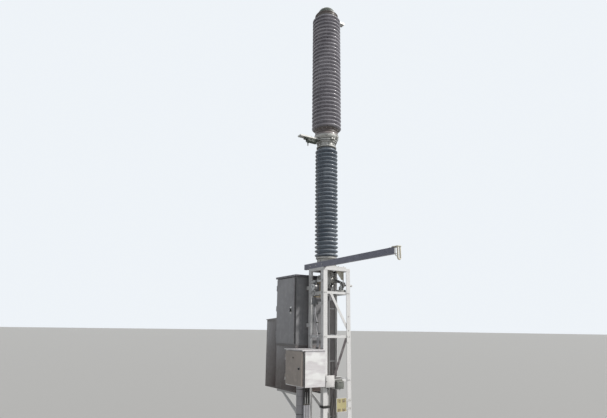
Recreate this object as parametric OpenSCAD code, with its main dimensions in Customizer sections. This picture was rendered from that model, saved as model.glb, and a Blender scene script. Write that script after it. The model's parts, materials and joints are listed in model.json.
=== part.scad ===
// Single pole of a live-tank circuit breaker for outdoor switchyards.
// A porcelain column (support insulator, neck casting, interrupter) stands on a
// lattice frame with a mechanism cabinet behind it, a junction box at its left
// side and a concrete plinth below.
// Units are millimetres, +Z is up, the frame is centred on X = Y = 0, the
// plinth's underside is Z = 0 and the frame's front face looks along -Y. The
// column stands behind the frame's middle, towards the cabinet.

/* [Plinth and frame] */
// Width of the concrete plinth along X
plinth_w = 720; // [660:10:1000]
// Depth of the concrete plinth along Y
plinth_d = 900; // [700:10:1100]
// Height of the plinth above the ground
plinth_h = 250; // [150:10:350]
// Outer width of the frame along X
frame_w = 516; // [500:2:540]
// Outer depth of the frame along Y
frame_d = 430; // [420:2:460]
// Leg length of the corner posts' angle section
post_leg = 75; // [60:5:80]
// Thickness of the corner posts' angle section
post_t = 8; // [6:1:10]
// Height of the frame's top above the ground
frame_top = 2855; // [2800:5:2865]

/* [Column] */
// Distance of the column axis behind the frame's middle
column_y = 85; // [70:1:88]
// Number of sheds on the support insulator
support_sheds = 27; // [20:1:30]
// Outer diameter of the support insulator's sheds
support_shed_d = 390; // [370:5:410]
// Core diameter of the support insulator
support_core_d = 300; // [270:5:310]
// Height of the support porcelain between its flanges
support_h = 1930; // [1700:10:2200]
// Number of sheds on the interrupter insulator
breaker_sheds = 31; // [24:1:34]
// Outer diameter of the interrupter insulator's sheds
breaker_shed_d = 520; // [500:5:560]
// Core diameter of the interrupter insulator
breaker_core_d = 420; // [380:5:425]
// Height of the interrupter porcelain between its flanges
breaker_h = 2280; // [1900:10:2400]
// Wall thickness of both porcelain tubes
porcelain_wall = 38; // [30:1:45]

/* [Mechanism cabinet] */
// Width of the cabinet along X
cabinet_w = 780; // [760:10:840]
// Depth of the upper cabinet along Y
cabinet_d = 630; // [610:10:680]
// Height of the upper cabinet
cabinet_h = 1080; // [1080:10:1110]
// Depth of the lower housing along Y
lower_d = 990; // [940:10:1100]
// Height of the lower housing
lower_h = 700; // [690:5:700]
// Height of the lower housing's rear part above the cabinet's floor
rear_h = 395; // [340:5:420]
// Sheet thickness of the cabinet
sheet = 3; // [2:0.5:4]

/* [Junction box] */
// Width of the junction box along X
box_w = 378; // [340:2:400]
// Depth of the junction box along Y
box_d = 518; // [460:2:520]
// Height of the junction box
box_h = 514; // [490:2:560]

/* [Side arm] */
// Length of the side arm
arm_l = 2200; // [1800:10:2400]
// Height of the side arm's channel section
arm_h = 88; // [60:2:90]
// Width of the side arm's channel section
arm_w = 50; // [40:5:50]

/* [Hidden] */

$fn = 96;
eps = 1;
half_w = frame_w / 2;
half_d = frame_d / 2;
pad_w = 150;
pad_t = 16;
pad_out = 22;
post_z = plinth_h + pad_t;
ring_h = 45;
ring_z = frame_top - ring_h;
ring_flange = 45;
ring_web = 6;
tie_leg = 40;
tie_t = 5;
tie_upper_z = 2440;
tie_middle_z = 1772;
tie_lower_z = 1132;
in_w = half_w - post_t;
in_d = half_d - post_t;
brace_w = 42;
plinth_front = -300;
plinth_bevel = 14;

plate_w = 400;
plate_front = -190;
plate_back = 278;
plate_t = 25;
base_z = frame_top + plate_t;
base_h = 170;
base_rim = 175;
base_foot_r = 190;
support_z = base_z + base_h;
support_top = support_z + support_h;
cap_flange_h = 110;
cap_flange_r = 175;
neck_z = support_top + cap_flange_h;
neck_waist_h = 34;
neck_waist_r = 150;
neck_h = 160;
neck_r = 215;
neck_top = neck_z + neck_h;
int_flange_h = 70;
int_flange_r = 215;
breaker_z = neck_top + int_flange_h;
breaker_top = breaker_z + breaker_h;
top_flange_h = 50;
top_flange_r = 216;
cap_z = breaker_top + top_flange_h;
cap_h = 150;
cap_foot_r = 205;
cap_r = 165;
cap_top_r = 85;

palm_w = 100;
palm_pitch = 50;
palm_hole_r = 7;
lower_palm_t = 24;
lower_palm_end = 560;
upper_palm_t = 34;
upper_palm_end = 385;

shaft_z = frame_top - 165;
housing_r = 76;
housing_h = 250;
bearing_r = 50;
bearing_end = 146;
lever_t = 18;
rod_y = 92;
rod_z = shaft_z - 95;
dash_y = -110;
dash_z = tie_upper_z + tie_leg;
dash_x = 155;
dash_pin_z = rod_z + 44;
dash_pin_r = 16;

cab_front = 280;
cab_left = -455;
lower_z = 950;
cab_z = lower_z + lower_h;
cab_top = cab_z + cabinet_h;
cab_back = cab_front + cabinet_d;
door_gap = 6;
door_t = 22;
door_sheet = 2;
door_frame = 36;
door_lap = 16;
hinge_r = 8;
hinge_h = 40;
hinge_gap = 1;
hinge_x = cab_left - 15;
hinge_y = cab_back - 8;
roof_lip = 25;
roof_h = 32;

box_right = -260;
box_left = box_right - box_w;
box_front = -275;
box_back = box_front + box_d;
box_z = 1083;
box_top = box_z + box_h;
box_sheet = 2.5;
box_frame = 28;
box_lap = 12;
box_door_t = 18;
box_hinge_x = box_left - 16;
box_hinge_y = box_back - 6;
box_hinge_r = 6;

arm_x = -half_w;
arm_back = 360;
arm_front = arm_back - arm_l;
arm_sheet = 5;

// Box with its low corner at p and size s.
module block(p, s) {
    translate(p) cube(s);
}

// Moves a piece from the frame's middle onto the column's axis.
module on_column() {
    translate([0, column_y, 0]) children();
}

// Round bar between two points.
module bar(a, b, r) {
    d = b - a;
    length = norm(d);
    translate(a)
        rotate([0, acos(d[2] / length), atan2(d[1], d[0])])
            cylinder(h = length, r = r, $fn = 32);
}

// Pipe through a list of points, with a square fitting at each corner.
module pipe(points, r) {
    for (i = [0:len(points) - 2])
        bar(points[i], points[i + 1], r);
    if (len(points) > 2)
        for (i = [1:len(points) - 2])
            translate(points[i]) cube(2 * r + 6, center = true);
}

// Half section of one porcelain shed: a sloped upper face, a rounded rim and a
// hollow underside with a drip rib, from the core radius outwards.
function shed_points(z, pitch, core_r, rim_r) = [
    [core_r, z],
    [core_r + 4, z + pitch * 0.1],
    [rim_r - 21, z + pitch * 0.13],
    [rim_r - 18, z + pitch * 0.04],
    [rim_r - 10, z + pitch * 0.04],
    [rim_r - 4, z + pitch * 0.1],
    [rim_r, z + pitch * 0.18],
    [rim_r, z + pitch * 0.3],
    [rim_r - 4, z + pitch * 0.39],
    [core_r + 11, z + pitch * 0.62],
    [core_r + 3, z + pitch * 0.72],
    [core_r, z + pitch * 0.86]
];

// Porcelain tube with a row of like sheds.
module porcelain(z0, height, sheds, core_r, rim_r) {
    land = 18;
    bore_r = core_r - porcelain_wall;
    pitch = (height - 2 * land) / sheds;
    body = [for (i = [0:sheds - 1])
        each shed_points(z0 + land + i * pitch, pitch, core_r, rim_r)];
    rotate_extrude()
        polygon(concat([[bore_r, z0], [core_r, z0]], body,
            [[core_r, z0 + height], [bore_r, z0 + height]]));
}

// Cast fitting: two collars with a waist between them.
module flange_pair(z0, height, low_r, high_r, waist_r, collar) {
    rotate_extrude()
        polygon([[0, z0], [low_r, z0], [low_r, z0 + collar],
            [waist_r + 8, z0 + collar + 4], [waist_r, z0 + collar + 12],
            [waist_r, z0 + height - collar - 12],
            [waist_r + 8, z0 + height - collar - 4],
            [high_r, z0 + height - collar], [high_r, z0 + height],
            [0, z0 + height]]);
}

// Ribs that stand round a fitting's waist.
module flange_ribs(z0, height, waist_r, rim_r, count) {
    for (i = [0:count - 1])
        rotate([0, 0, 360 / count * (i + 0.5)])
            block([waist_r - 6, -4, z0], [rim_r - waist_r, 8, height]);
}

// Thin tray with its open side towards +X: a folded sheet door.
module door_tray(x, y, z, depth, width, height) {
    difference() {
        block([x, y, z], [depth, width, height]);
        block([x + door_sheet, y + door_sheet, z + door_sheet],
            [depth, width - 2 * door_sheet, height - 2 * door_sheet]);
    }
}

// Knuckle at the hinge axis with a leaf that reaches to a point beside it.
module hinge_half(axis, z, r, leaf_low, leaf_size) {
    translate([axis[0], axis[1], z]) cylinder(h = hinge_h, r = r, $fn = 48);
    block([leaf_low[0], leaf_low[1], z], [leaf_size[0], leaf_size[1], hinge_h]);
}

module corner_post(sx, sy) {
    color("gainsboro")
        translate([0, 0, post_z])
            linear_extrude(ring_z - post_z)
                mirror([sx > 0 ? 1 : 0, 0])
                    mirror([0, sy > 0 ? 1 : 0])
                        translate([-half_w, -half_d])
                            polygon([[0, 0], [post_leg, 0], [post_leg, post_t],
                                [post_t, post_t], [post_t, post_leg],
                                [0, post_leg]]);
}

// Four angle bars joined in a rectangle inside the posts, flange upwards.
module tie_ring(z) {
    color("gainsboro")
        difference() {
            block([-in_w, -in_d, z], [2 * in_w, 2 * in_d, tie_leg]);
            block([-in_w + tie_t, -in_d + tie_t, z - eps],
                [2 * (in_w - tie_t), 2 * (in_d - tie_t), tie_leg - tie_t + eps]);
            block([-in_w + tie_leg, -in_d + tie_leg, z - eps],
                [2 * (in_w - tie_leg), 2 * (in_d - tie_leg), tie_leg + 2 * eps]);
        }
}

// Flat bar in the XZ plane between two points [x, z], one face on Y = 0.
module flat_brace(a, b) {
    length = norm(b - a);
    tilt = atan2(b[1] - a[1], b[0] - a[0]);
    translate([a[0], 0, a[1]])
        rotate([0, -tilt, 0])
            block([0, 0, -brace_w / 2], [length, tie_t, brace_w]);
}

// Concrete block with bevelled upper edges.
module plinth() {
    top_w = plinth_w - 2 * plinth_bevel;
    top_d = plinth_d - 2 * plinth_bevel;
    color("tan")
        difference() {
            block([-plinth_w / 2, plinth_front, 0], [plinth_w, plinth_d, plinth_h]);
            for (sx = [-1, 1])
                translate([sx * plinth_w / 2, plinth_front - eps, plinth_h])
                    rotate([0, 45, 0])
                        translate([-plinth_bevel, 0, -plinth_bevel])
                            cube([2 * plinth_bevel, plinth_d + 2 * eps, 2 * plinth_bevel]);
            for (y = [plinth_front, plinth_front + plinth_d])
                translate([-plinth_w / 2 - eps, y, plinth_h])
                    rotate([45, 0, 0])
                        translate([0, -plinth_bevel, -plinth_bevel])
                            cube([plinth_w + 2 * eps, 2 * plinth_bevel, 2 * plinth_bevel]);
        }
}

module foot_plates() {
    color("gainsboro")
        for (sx = [-1, 1])
            for (sy = [-1, 1])
                block([sx * (half_w + pad_out - pad_w / 2) - pad_w / 2,
                    sy * (half_d + pad_out - pad_w / 2) - pad_w / 2, plinth_h],
                    [pad_w, pad_w, pad_t]);
}

module post_front_left() { corner_post(-1, -1); }
module post_front_right() { corner_post(1, -1); }
module post_rear_left() { corner_post(-1, 1); }
module post_rear_right() { corner_post(1, 1); }

// Ring of inward facing channels on top of the posts.
module top_frame() {
    color("gainsboro")
        difference() {
            block([-half_w, -half_d, ring_z], [frame_w, frame_d, ring_h]);
            block([-half_w + ring_flange, -half_d + ring_flange, ring_z - eps],
                [frame_w - 2 * ring_flange, frame_d - 2 * ring_flange, ring_h + 2 * eps]);
            block([-half_w + ring_web, -half_d + ring_web, ring_z + ring_web],
                [frame_w - 2 * ring_web, frame_d - 2 * ring_web, ring_h - 2 * ring_web]);
        }
}

module upper_tie_ring() { tie_ring(tie_upper_z); }
module middle_tie_ring() { tie_ring(tie_middle_z); }
module lower_tie_ring() { tie_ring(tie_lower_z); }

// Flat bar between the rear posts above the upper tie ring.
module rear_tie() {
    color("gainsboro")
        block([-in_w, in_d - tie_t, 2640], [2 * in_w, tie_t, tie_leg]);
}

// Two flat bars that meet at the front right post, trimmed by the tie rings.
module front_braces() {
    color("gainsboro")
        translate([0, -in_d, 0]) {
            intersection() {
                flat_brace([-125, 2472], [230, 1871]);
                block([-in_w, 0, tie_middle_z + tie_leg],
                    [2 * in_w, tie_t, tie_upper_z - tie_middle_z - tie_leg]);
            }
            intersection() {
                flat_brace([200, 1816], [-95, 1108]);
                block([-in_w, 0, tie_lower_z + tie_leg],
                    [2 * in_w, tie_t, tie_middle_z - tie_lower_z - tie_leg]);
            }
        }
}

tray_x = -8;
tray_w = 115;
tray_y = -20;
tray_d = 34;
tray_t = 3;
tray_top = 2350;

// Upright cable channel, open to the front, held by bars on two tie rings.
module cable_tray() {
    color("gainsboro") {
        difference() {
            block([tray_x, tray_y, plinth_h], [tray_w, tray_d, tray_top - plinth_h]);
            block([tray_x + tray_t, tray_y - eps, plinth_h - eps],
                [tray_w - 2 * tray_t, tray_d - tray_t + eps,
                    tray_top - plinth_h + 2 * eps]);
        }
        for (z = [tie_lower_z + tie_leg, tie_middle_z + tie_leg])
            block([-in_w + 12, tray_y + tray_d - 0.5, z], [2 * in_w - 24, 30, 6]);
    }
}

// Cables side by side in the channel, the middle ones led up to the top.
module tray_cables() {
    cable_r = 9;
    color("black")
        for (i = [0:4])
            translate([tray_x + 15 + i * 21, tray_y + tray_d - tray_t - cable_r - 0.3,
                plinth_h])
                cylinder(h = tray_top - plinth_h - 30 + 20 * (i % 3), r = cable_r,
                    $fn = 32);
}

module column_plate() {
    color("gainsboro")
        block([-plate_w / 2, plate_front, frame_top],
            [plate_w, plate_back - plate_front, plate_t]);
}

// Cast crank case under the column plate, with its cross shaft's bearing tube.
module drive_housing() {
    color("beige") on_column() {
        translate([0, 0, frame_top - housing_h]) cylinder(h = housing_h, r = housing_r);
        translate([0, 0, frame_top - 18]) cylinder(h = 18, r = housing_r + 4);
        translate([0, 0, frame_top - housing_h - 22]) cylinder(h = 22.5, r = 60);
        translate([-bearing_end + 14, 0, shaft_z])
            rotate([0, 90, 0]) cylinder(h = 2 * bearing_end - 28, r = bearing_r);
        for (x = [-bearing_end, bearing_end - 16])
            translate([x, 0, shaft_z])
                rotate([0, 90, 0]) cylinder(h = 16, r = bearing_r + 12);
        for (a = [45:90:315])
            rotate([0, 0, a])
                block([housing_r - 8, -5, frame_top - 110], [34, 10, 100]);
    }
}

bracket_y = -142;
bracket_t = 12;
bracket_low = 2676;

// Cream web plate under the column plate's front that also carries the valve.
module bearing_bracket() {
    color("beige")
        translate([0, bracket_y + bracket_t, 0])
            rotate([90, 0, 0])
                linear_extrude(bracket_t)
                    polygon([[8, frame_top], [186, frame_top], [186, bracket_low],
                        [148, bracket_low]]);
}

// Bell crank on the shaft's right end: one arm to the pull rod, one to the
// dashpot.
module drive_lever() {
    color("dimgray")
        translate([bearing_end, column_y, 0])
            rotate([90, 0, 90])
                linear_extrude(lever_t)
                    union() {
                        hull() {
                            translate([0, shaft_z]) circle(r = 34, $fn = 32);
                            translate([rod_y, rod_z]) circle(r = 18, $fn = 32);
                        }
                        hull() {
                            translate([0, shaft_z]) circle(r = 34, $fn = 32);
                            translate([dash_y - column_y, dash_pin_z])
                                circle(r = dash_pin_r, $fn = 32);
                        }
                    }
}

// Oil dashpot that stands on the upper tie ring's flange.
module dashpot() {
    color("silver")
        translate([dash_x, dash_y, dash_z]) {
            cylinder(h = 34, r = 76);
            cylinder(h = 88, r = 36);
            cylinder(h = dash_pin_z - dash_pin_r - dash_z - 0.3, r = 10);
        }
}

// Pull rod from the crank to the operating cylinder in the cabinet.
module drive_rod() {
    y = column_y + rod_y;
    color("silver") {
        translate([bearing_end + lever_t, y, rod_z])
            rotate([0, 90, 0]) cylinder(h = 18, r = 20);
        bar([bearing_end + lever_t + 9, y, rod_z],
            [bearing_end + lever_t + 9, cab_front, rod_z], 9);
    }
}

// Gas filling valve under the bracket, with a pipe out past the right post.
module filling_valve() {
    y = bracket_y + 24;
    z = 2594;
    body_top = 2640;
    color("white") {
        block([172, bracket_y, z - 20], [46, 42, body_top - z + 20]);
        block([172, bracket_y, body_top - 1], [13, bracket_t, bracket_low - body_top + 1]);
        bar([217, y, z], [340, y, z], 13);
        bar([339, y, z], [366, y, z], 18);
    }
}

module base_flange() {
    waist_r = 150;
    color("silver") on_column() {
        flange_pair(base_z, base_h, base_foot_r, base_rim, waist_r, 22);
        flange_ribs(base_z + 20, base_h - 40, waist_r, base_rim - 13, 12);
    }
}

module support_insulator() {
    color("slategray") on_column()
        porcelain(support_z, support_h, support_sheds, support_core_d / 2,
            support_shed_d / 2);
}

module support_cap_flange() {
    waist_r = 154;
    color("silver") on_column() {
        flange_pair(support_top, cap_flange_h, cap_flange_r, cap_flange_r, waist_r, 18);
        flange_ribs(support_top + 16, cap_flange_h - 32, waist_r, cap_flange_r - 3, 12);
    }
}

// Bulged casting between the two insulators, with a waist below for the
// terminal's clamp ring.
module neck_housing() {
    bulge_z = neck_z + neck_waist_h;
    bulge_h = neck_h - neck_waist_h;
    round_r = 40;
    color("silver") on_column()
        rotate_extrude()
            polygon(concat([[0, neck_z], [neck_waist_r, neck_z],
                [neck_waist_r, bulge_z]],
                [for (a = [-66:12:66])
                    [neck_r - round_r + round_r * cos(a),
                        bulge_z + bulge_h / 2 * (1 + sin(a) / sin(66))]],
                [[0, neck_top]]));
}

// Flat palm along +X with four bolt holes at its end.
module palm(root, reach, z, t) {
    difference() {
        block([root, -palm_w / 2, z], [reach - root, palm_w, t]);
        for (dx = [-1, 1])
            for (dy = [-1, 1])
                translate([reach - palm_w / 2 + dx * palm_pitch / 2,
                    dy * palm_pitch / 2, z - eps])
                    cylinder(h = t + 2 * eps, r = palm_hole_r);
    }
}

lower_palm_z = neck_z + 5;

// Clamp ring round the neck's waist with a palm to the left.
module lower_terminal() {
    ring_r = 186;
    color("silver") on_column() {
        difference() {
            union() {
                translate([0, 0, lower_palm_z]) cylinder(h = lower_palm_t, r = ring_r);
                mirror([1, 0, 0])
                    block([120, -palm_w / 2, lower_palm_z], [80, palm_w, lower_palm_t]);
            }
            translate([0, 0, lower_palm_z - eps])
                cylinder(h = lower_palm_t + 2 * eps, r = neck_waist_r + 0.3);
        }
        mirror([1, 0, 0]) palm(199, lower_palm_end, lower_palm_z, lower_palm_t);
    }
}

// Dark cast clamp bolted under the lower terminal's palm, with a hanging pin.
module terminal_clamp() {
    root = -455;
    length = 245;
    wide = 84;
    pin_x = -385;
    color("darkolivegreen") on_column() {
        block([root, -wide / 2, lower_palm_z - 26], [length, wide, 26]);
        block([root + 42, -wide / 2 + 12, lower_palm_z - 62], [length - 60, wide - 24, 37]);
        translate([root + 42, 0, lower_palm_z - 44])
            rotate([0, 90, 0]) cylinder(h = length - 60, r = 34);
        translate([pin_x, 0, lower_palm_z - 128]) cylinder(h = 80, r = 9);
        translate([pin_x, 0, lower_palm_z - 92]) cylinder(h = 20, r = 15);
    }
}

module interrupter_base_flange() {
    color("dimgray") on_column()
        flange_pair(neck_top, int_flange_h, int_flange_r - 14, int_flange_r, 192, 17);
}

module interrupter_insulator() {
    color("rosybrown") on_column()
        porcelain(breaker_z, breaker_h, breaker_sheds, breaker_core_d / 2,
            breaker_shed_d / 2);
}

module interrupter_top_flange() {
    color("dimgray") on_column()
        flange_pair(breaker_top, top_flange_h, top_flange_r - 3, top_flange_r, 204, 8);
}

// Domed cover over the interrupter, on a flat rim.
module top_cap() {
    rim_t = 18;
    shoulder = cap_r - cap_top_r;
    color("darkolivegreen") on_column()
        rotate_extrude()
            polygon(concat([[0, cap_z], [cap_foot_r, cap_z], [cap_foot_r, cap_z + rim_t],
                [cap_r + 7, cap_z + rim_t]],
                [for (a = [0:10:90])
                    [cap_top_r + shoulder * cos(a),
                        cap_z + rim_t + 14 + (cap_h - rim_t - 14) * sin(a)]],
                [[0, cap_z + cap_h]]));
}

// Two ring bolts on the top cap's flat seat.
module lifting_eyes() {
    color("white") on_column()
        for (side = [-1, 1])
            translate([side * 62, 0, cap_z + cap_h]) {
                cylinder(h = 10, r = 12);
                translate([0, 0, 27])
                    rotate([90, 0, 0])
                        rotate_extrude() translate([15, 0]) circle(r = 5, $fn = 32);
            }
}

upper_palm_z = breaker_top + 12;

// Palm to the right that fits round the top flange, with a stiffening rib.
module upper_terminal() {
    color("silver") on_column()
        difference() {
            union() {
                palm(150, upper_palm_end, upper_palm_z, upper_palm_t);
                block([150, -9, upper_palm_z - 34], [140, 18, 35]);
            }
            translate([0, 0, breaker_top - 60])
                cylinder(h = 200, r = top_flange_r + 0.3);
        }
}

// Mechanism cabinet

door_y = cab_front + door_frame - door_lap;
door_d = cabinet_d - 2 * (door_frame - door_lap) - 14;
door_z = cab_z + door_frame - door_lap;
door_h = cabinet_h - 2 * (door_frame - door_lap);
door_x = cab_left - door_gap - door_t;
hinge_levels = [cab_z + 120, cab_z + cabinet_h / 2, cab_top - 200];

// Sheet shell with the doorway in its left wall and the fixed hinge halves.
module cabinet_shell() {
    color("gray") {
        difference() {
            block([cab_left, cab_front, cab_z], [cabinet_w, cabinet_d, cabinet_h]);
            block([cab_left + sheet, cab_front + sheet, cab_z + sheet],
                [cabinet_w - 2 * sheet, cabinet_d - 2 * sheet, cabinet_h - 2 * sheet]);
            block([cab_left - eps, cab_front + door_frame, cab_z + door_frame],
                [sheet + 2 * eps, cabinet_d - 2 * door_frame - 14,
                    cabinet_h - 2 * door_frame]);
        }
        for (z = hinge_levels)
            hinge_half([hinge_x, hinge_y], z, hinge_r,
                [hinge_x, hinge_y - 3], [cab_left - hinge_x, 6]);
    }
}

// Roof cap with a rain lip all round, hollow over the shell.
module cabinet_roof() {
    bearing = 20;
    color("dimgray")
        difference() {
            block([cab_left - roof_lip, cab_front - roof_lip, cab_top],
                [cabinet_w + 2 * roof_lip, cabinet_d + 2 * roof_lip, roof_h]);
            block([cab_left + bearing, cab_front + bearing, cab_top - eps],
                [cabinet_w - 2 * bearing, cabinet_d - 2 * bearing, roof_h - sheet + eps]);
        }
}

// Folded sheet door on the left wall, hinged at its rear edge.
module cabinet_door() {
    color("gray") {
        door_tray(door_x, door_y, door_z, door_t, door_d, door_h);
        for (z = hinge_levels)
            hinge_half([hinge_x, hinge_y], z + hinge_h + hinge_gap, hinge_r,
                [hinge_x - 6, door_y + door_d - 1], [6, hinge_y - door_y - door_d + 1]);
    }
}

// Round rotary lock near the door's front edge.
module cabinet_handle() {
    color("black")
        translate([door_x, door_y + 95, cab_z + 545]) {
            rotate([0, -90, 0]) cylinder(h = 10, r = 16);
            translate([-22, -6, -32]) cube([13, 12, 64]);
        }
}

// Horizontal cylinder on the cabinet's front wall, in line with the pull rod.
module operating_cylinder() {
    x = bearing_end + lever_t + 9;
    y = cab_front + sheet;
    color("silver") {
        bar([x, y, rod_z], [x, y + 22, rod_z], 92);
        bar([x, y + 21, rod_z], [x, y + 380, rod_z], 62);
        bar([x, y + 379, rod_z], [x, y + 402, rod_z], 84);
        for (a = [45:90:315])
            bar([x + 74 * cos(a), y + 21, rod_z + 74 * sin(a)],
                [x + 74 * cos(a), y + 380, rod_z + 74 * sin(a)], 7);
    }
}

// Side profile of the lower housing, drawn smaller all round by a wall.
module housing_profile(wall) {
    front = cab_front + wall;
    back = cab_front + lower_d - wall;
    step = cab_back + 0.5 + wall;
    polygon([[front, lower_z + wall], [back, lower_z + wall],
        [back, cab_z + rear_h - wall], [step, cab_z + rear_h - wall],
        [step, cab_z - wall], [front, cab_z - wall]]);
}

// Deeper housing below the cabinet: a closed sheet shell whose rear part stands
// up behind the cabinet under a sloped rain cover.
module lower_housing() {
    cover = 34;
    rear_top = cab_z + rear_h;
    lip_y = cab_front + lower_d + 14;
    color("rosybrown")
        rotate([90, 0, 90]) {
            difference() {
                translate([0, 0, cab_left]) linear_extrude(cabinet_w) housing_profile(0);
                translate([0, 0, cab_left + sheet])
                    linear_extrude(cabinet_w - 2 * sheet) housing_profile(sheet);
            }
            translate([0, 0, cab_left - 12])
                linear_extrude(cabinet_w + 24)
                    polygon([[cab_back + 0.5, rear_top], [lip_y, rear_top],
                        [lip_y, rear_top + 12], [cab_back + 0.5, rear_top + cover]]);
        }
}

// Spacers between the rear posts and the cabinet's front wall.
module cabinet_brackets() {
    color("gainsboro")
        for (sx = [-1, 1])
            for (z = [1250, 1930, 2520])
                block([sx > 0 ? half_w - 58 : -half_w, half_d, z],
                    [58, cab_front - half_d, 60]);
}

// Two channels that carry the lower housing, each with a strut to its post.
module cabinet_bearers() {
    bearer_h = 80;
    bearer_w = 58;
    reach = cab_front + lower_d - 60;
    wall = 6;
    color("gainsboro")
        for (sx = [-1, 1]) {
            x = sx > 0 ? half_w - bearer_w : -half_w;
            difference() {
                block([x, half_d, lower_z - bearer_h], [bearer_w, reach - half_d, bearer_h]);
                block([sx > 0 ? x - eps : x + wall, half_d - eps, lower_z - bearer_h + wall],
                    [bearer_w - wall + eps, reach - half_d + 2 * eps, bearer_h - 2 * wall]);
            }
            translate([sx > 0 ? half_w - wall : -half_w, 0, 0])
                rotate([90, 0, 90])
                    linear_extrude(wall)
                        polygon([[half_d, 420], [half_d + 56, 420],
                            [reach - 180, lower_z - bearer_h],
                            [reach - 260, lower_z - bearer_h],
                            [half_d, 500]]);
        }
}

// Junction box

box_door_x = box_left - door_gap - box_door_t;
box_door_y = box_front + box_frame - box_lap;
box_door_d = box_d - 2 * (box_frame - box_lap) - 12;
box_door_z = box_z + box_frame - box_lap;
box_door_h = box_h - 2 * (box_frame - box_lap);
box_hinge_levels = [box_z + 70, box_top - 155];

module junction_box_shell() {
    color("lightgray") {
        difference() {
            block([box_left, box_front, box_z], [box_w, box_d, box_h]);
            block([box_left + box_sheet, box_front + box_sheet, box_z + box_sheet],
                [box_w - 2 * box_sheet, box_d - 2 * box_sheet, box_h - 2 * box_sheet]);
            block([box_left - eps, box_front + box_frame, box_z + box_frame],
                [box_sheet + 2 * eps, box_d - 2 * box_frame - 12,
                    box_h - 2 * box_frame]);
        }
        for (z = box_hinge_levels)
            hinge_half([box_hinge_x, box_hinge_y], z, box_hinge_r,
                [box_hinge_x, box_hinge_y - 2], [box_left - box_hinge_x, 4]);
    }
}

// Sheet roof that overhangs the door, with a small lip at the front.
module junction_box_roof() {
    lip = 34;
    color("lightgray")
        translate([box_left - lip, 0, 0])
            rotate([90, 0, 90])
                linear_extrude(box_w + lip)
                    polygon([[box_front - 14, box_top - 8], [box_front - 11, box_top - 8],
                        [box_front - 11, box_top], [box_back + 4, box_top],
                        [box_back + 4, box_top + 8], [box_front + box_d / 2, box_top + 20],
                        [box_front - 14, box_top + 8]]);
}

module junction_box_door() {
    color("gray") {
        door_tray(box_door_x, box_door_y, box_door_z, box_door_t, box_door_d, box_door_h);
        for (z = box_hinge_levels)
            hinge_half([box_hinge_x, box_hinge_y], z + hinge_h + hinge_gap, box_hinge_r,
                [box_hinge_x - 5, box_door_y + box_door_d - 1],
                [5, box_hinge_y - box_door_y - box_door_d + 1]);
    }
}

// Round lock and a smaller key cover on the junction box door.
module junction_box_lock() {
    color("black") {
        translate([box_door_x, box_door_y + 76, box_z + 255])
            rotate([0, -90, 0]) cylinder(h = 14, r = 17);
        translate([box_door_x, box_door_y + 250, box_z + 400])
            rotate([0, -90, 0]) cylinder(h = 6, r = 11);
    }
}

// Three rows of terminal blocks on rails at the junction box's right wall.
module terminal_strips() {
    color("tan")
        for (z = [1180, 1330, 1480]) {
            block([box_right - box_sheet - 8, box_front + 60, z], [8, box_d - 120, 35]);
            for (i = [0:13])
                block([box_right - box_sheet - 50, box_front + 84 + i * 24, z - 8],
                    [42.5, 20, 51]);
        }
}

// Two rails between the left posts and the junction box.
module junction_box_brackets() {
    color("gainsboro")
        for (z = [1165, 1485])
            block([box_right, -half_d, z], [-half_w - box_right, frame_d, 40]);
}

hose_x = box_left + 90;
hose_y = -50;
hose_r = 65;

// Wide plastic cable duct from the box's floor to the ground, with its coupling
// collars.
module cable_hose() {
    collar_h = 60;
    color("darkslategray")
        translate([hose_x, hose_y, 0]) {
            cylinder(h = box_z, r = hose_r);
            for (z = [300, box_z - collar_h - 10])
                translate([0, 0, z]) cylinder(h = collar_h, r = hose_r + 4);
        }
}

conduit_x = [box_left + 92, box_left + 129, box_left + 166];
conduit_y = -150;
conduit_top = 838;

module conduits() {
    color("lightsteelblue")
        for (x = conduit_x)
            difference() {
                translate([x, conduit_y, 0]) cylinder(h = conduit_top, r = 18);
                translate([x, conduit_y, conduit_top - 60]) cylinder(h = 61, r = 15.5);
            }
}

module conduit_cables() {
    color("black")
        for (x = conduit_x)
            translate([x, conduit_y, conduit_top - 60])
                cylinder(h = box_z - conduit_top + 60, r = 13);
}

riser_x = -165;
riser_y = -145;
riser_top = 2450;

// Conduit up the inside of the front left post, strapped to it near the foot.
module riser_conduit() {
    strap_z = 776;
    strap_h = 36;
    color("gainsboro")
        translate([riser_x, riser_y, post_z])
            cylinder(h = riser_top - post_z, r = 20);
    color("black")
        difference() {
            block([-half_w - 4, -half_d - 4, strap_z], [118, 98, strap_h]);
            block([-half_w, -half_d, strap_z - eps], [110, 90, strap_h + 2 * eps]);
        }
}

rail_t = 6;
rail_x = -half_w - rail_t;
gauge_x = rail_x - 32;
gauge_y = -20;
gauge_z = 2545;
line_z = 2395;

// Two flat bars across the left posts that carry the instruments.
module instrument_rails() {
    color("gainsboro")
        for (z = [2278, 2626])
            block([rail_x, -200, z], [rail_t, 400, 30]);
}

// Round gauge with its dial to the left and a pipe stub below.
module density_gauge() {
    color("dimgray") {
        bar([rail_x - 12, gauge_y, gauge_z], [rail_x - 62, gauge_y, gauge_z], 50);
        block([rail_x - 13, gauge_y - 16, gauge_z - 20], [13, 32, 125]);
        bar([gauge_x, gauge_y, gauge_z - 45], [gauge_x, gauge_y, line_z + 12], 9);
    }
}

// Pressure switch box with two cable glands under it.
module pressure_switch() {
    z = 2272;
    color("dimgray") {
        block([rail_x - 70, -70, z], [64, 62, 108]);
        block([rail_x - 7, -62, z], [7, 46, 40]);
        for (y = [-54, -24])
            bar([rail_x - 40, y, z - 28], [rail_x - 40, y, z + 1], 10);
    }
}

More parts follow.
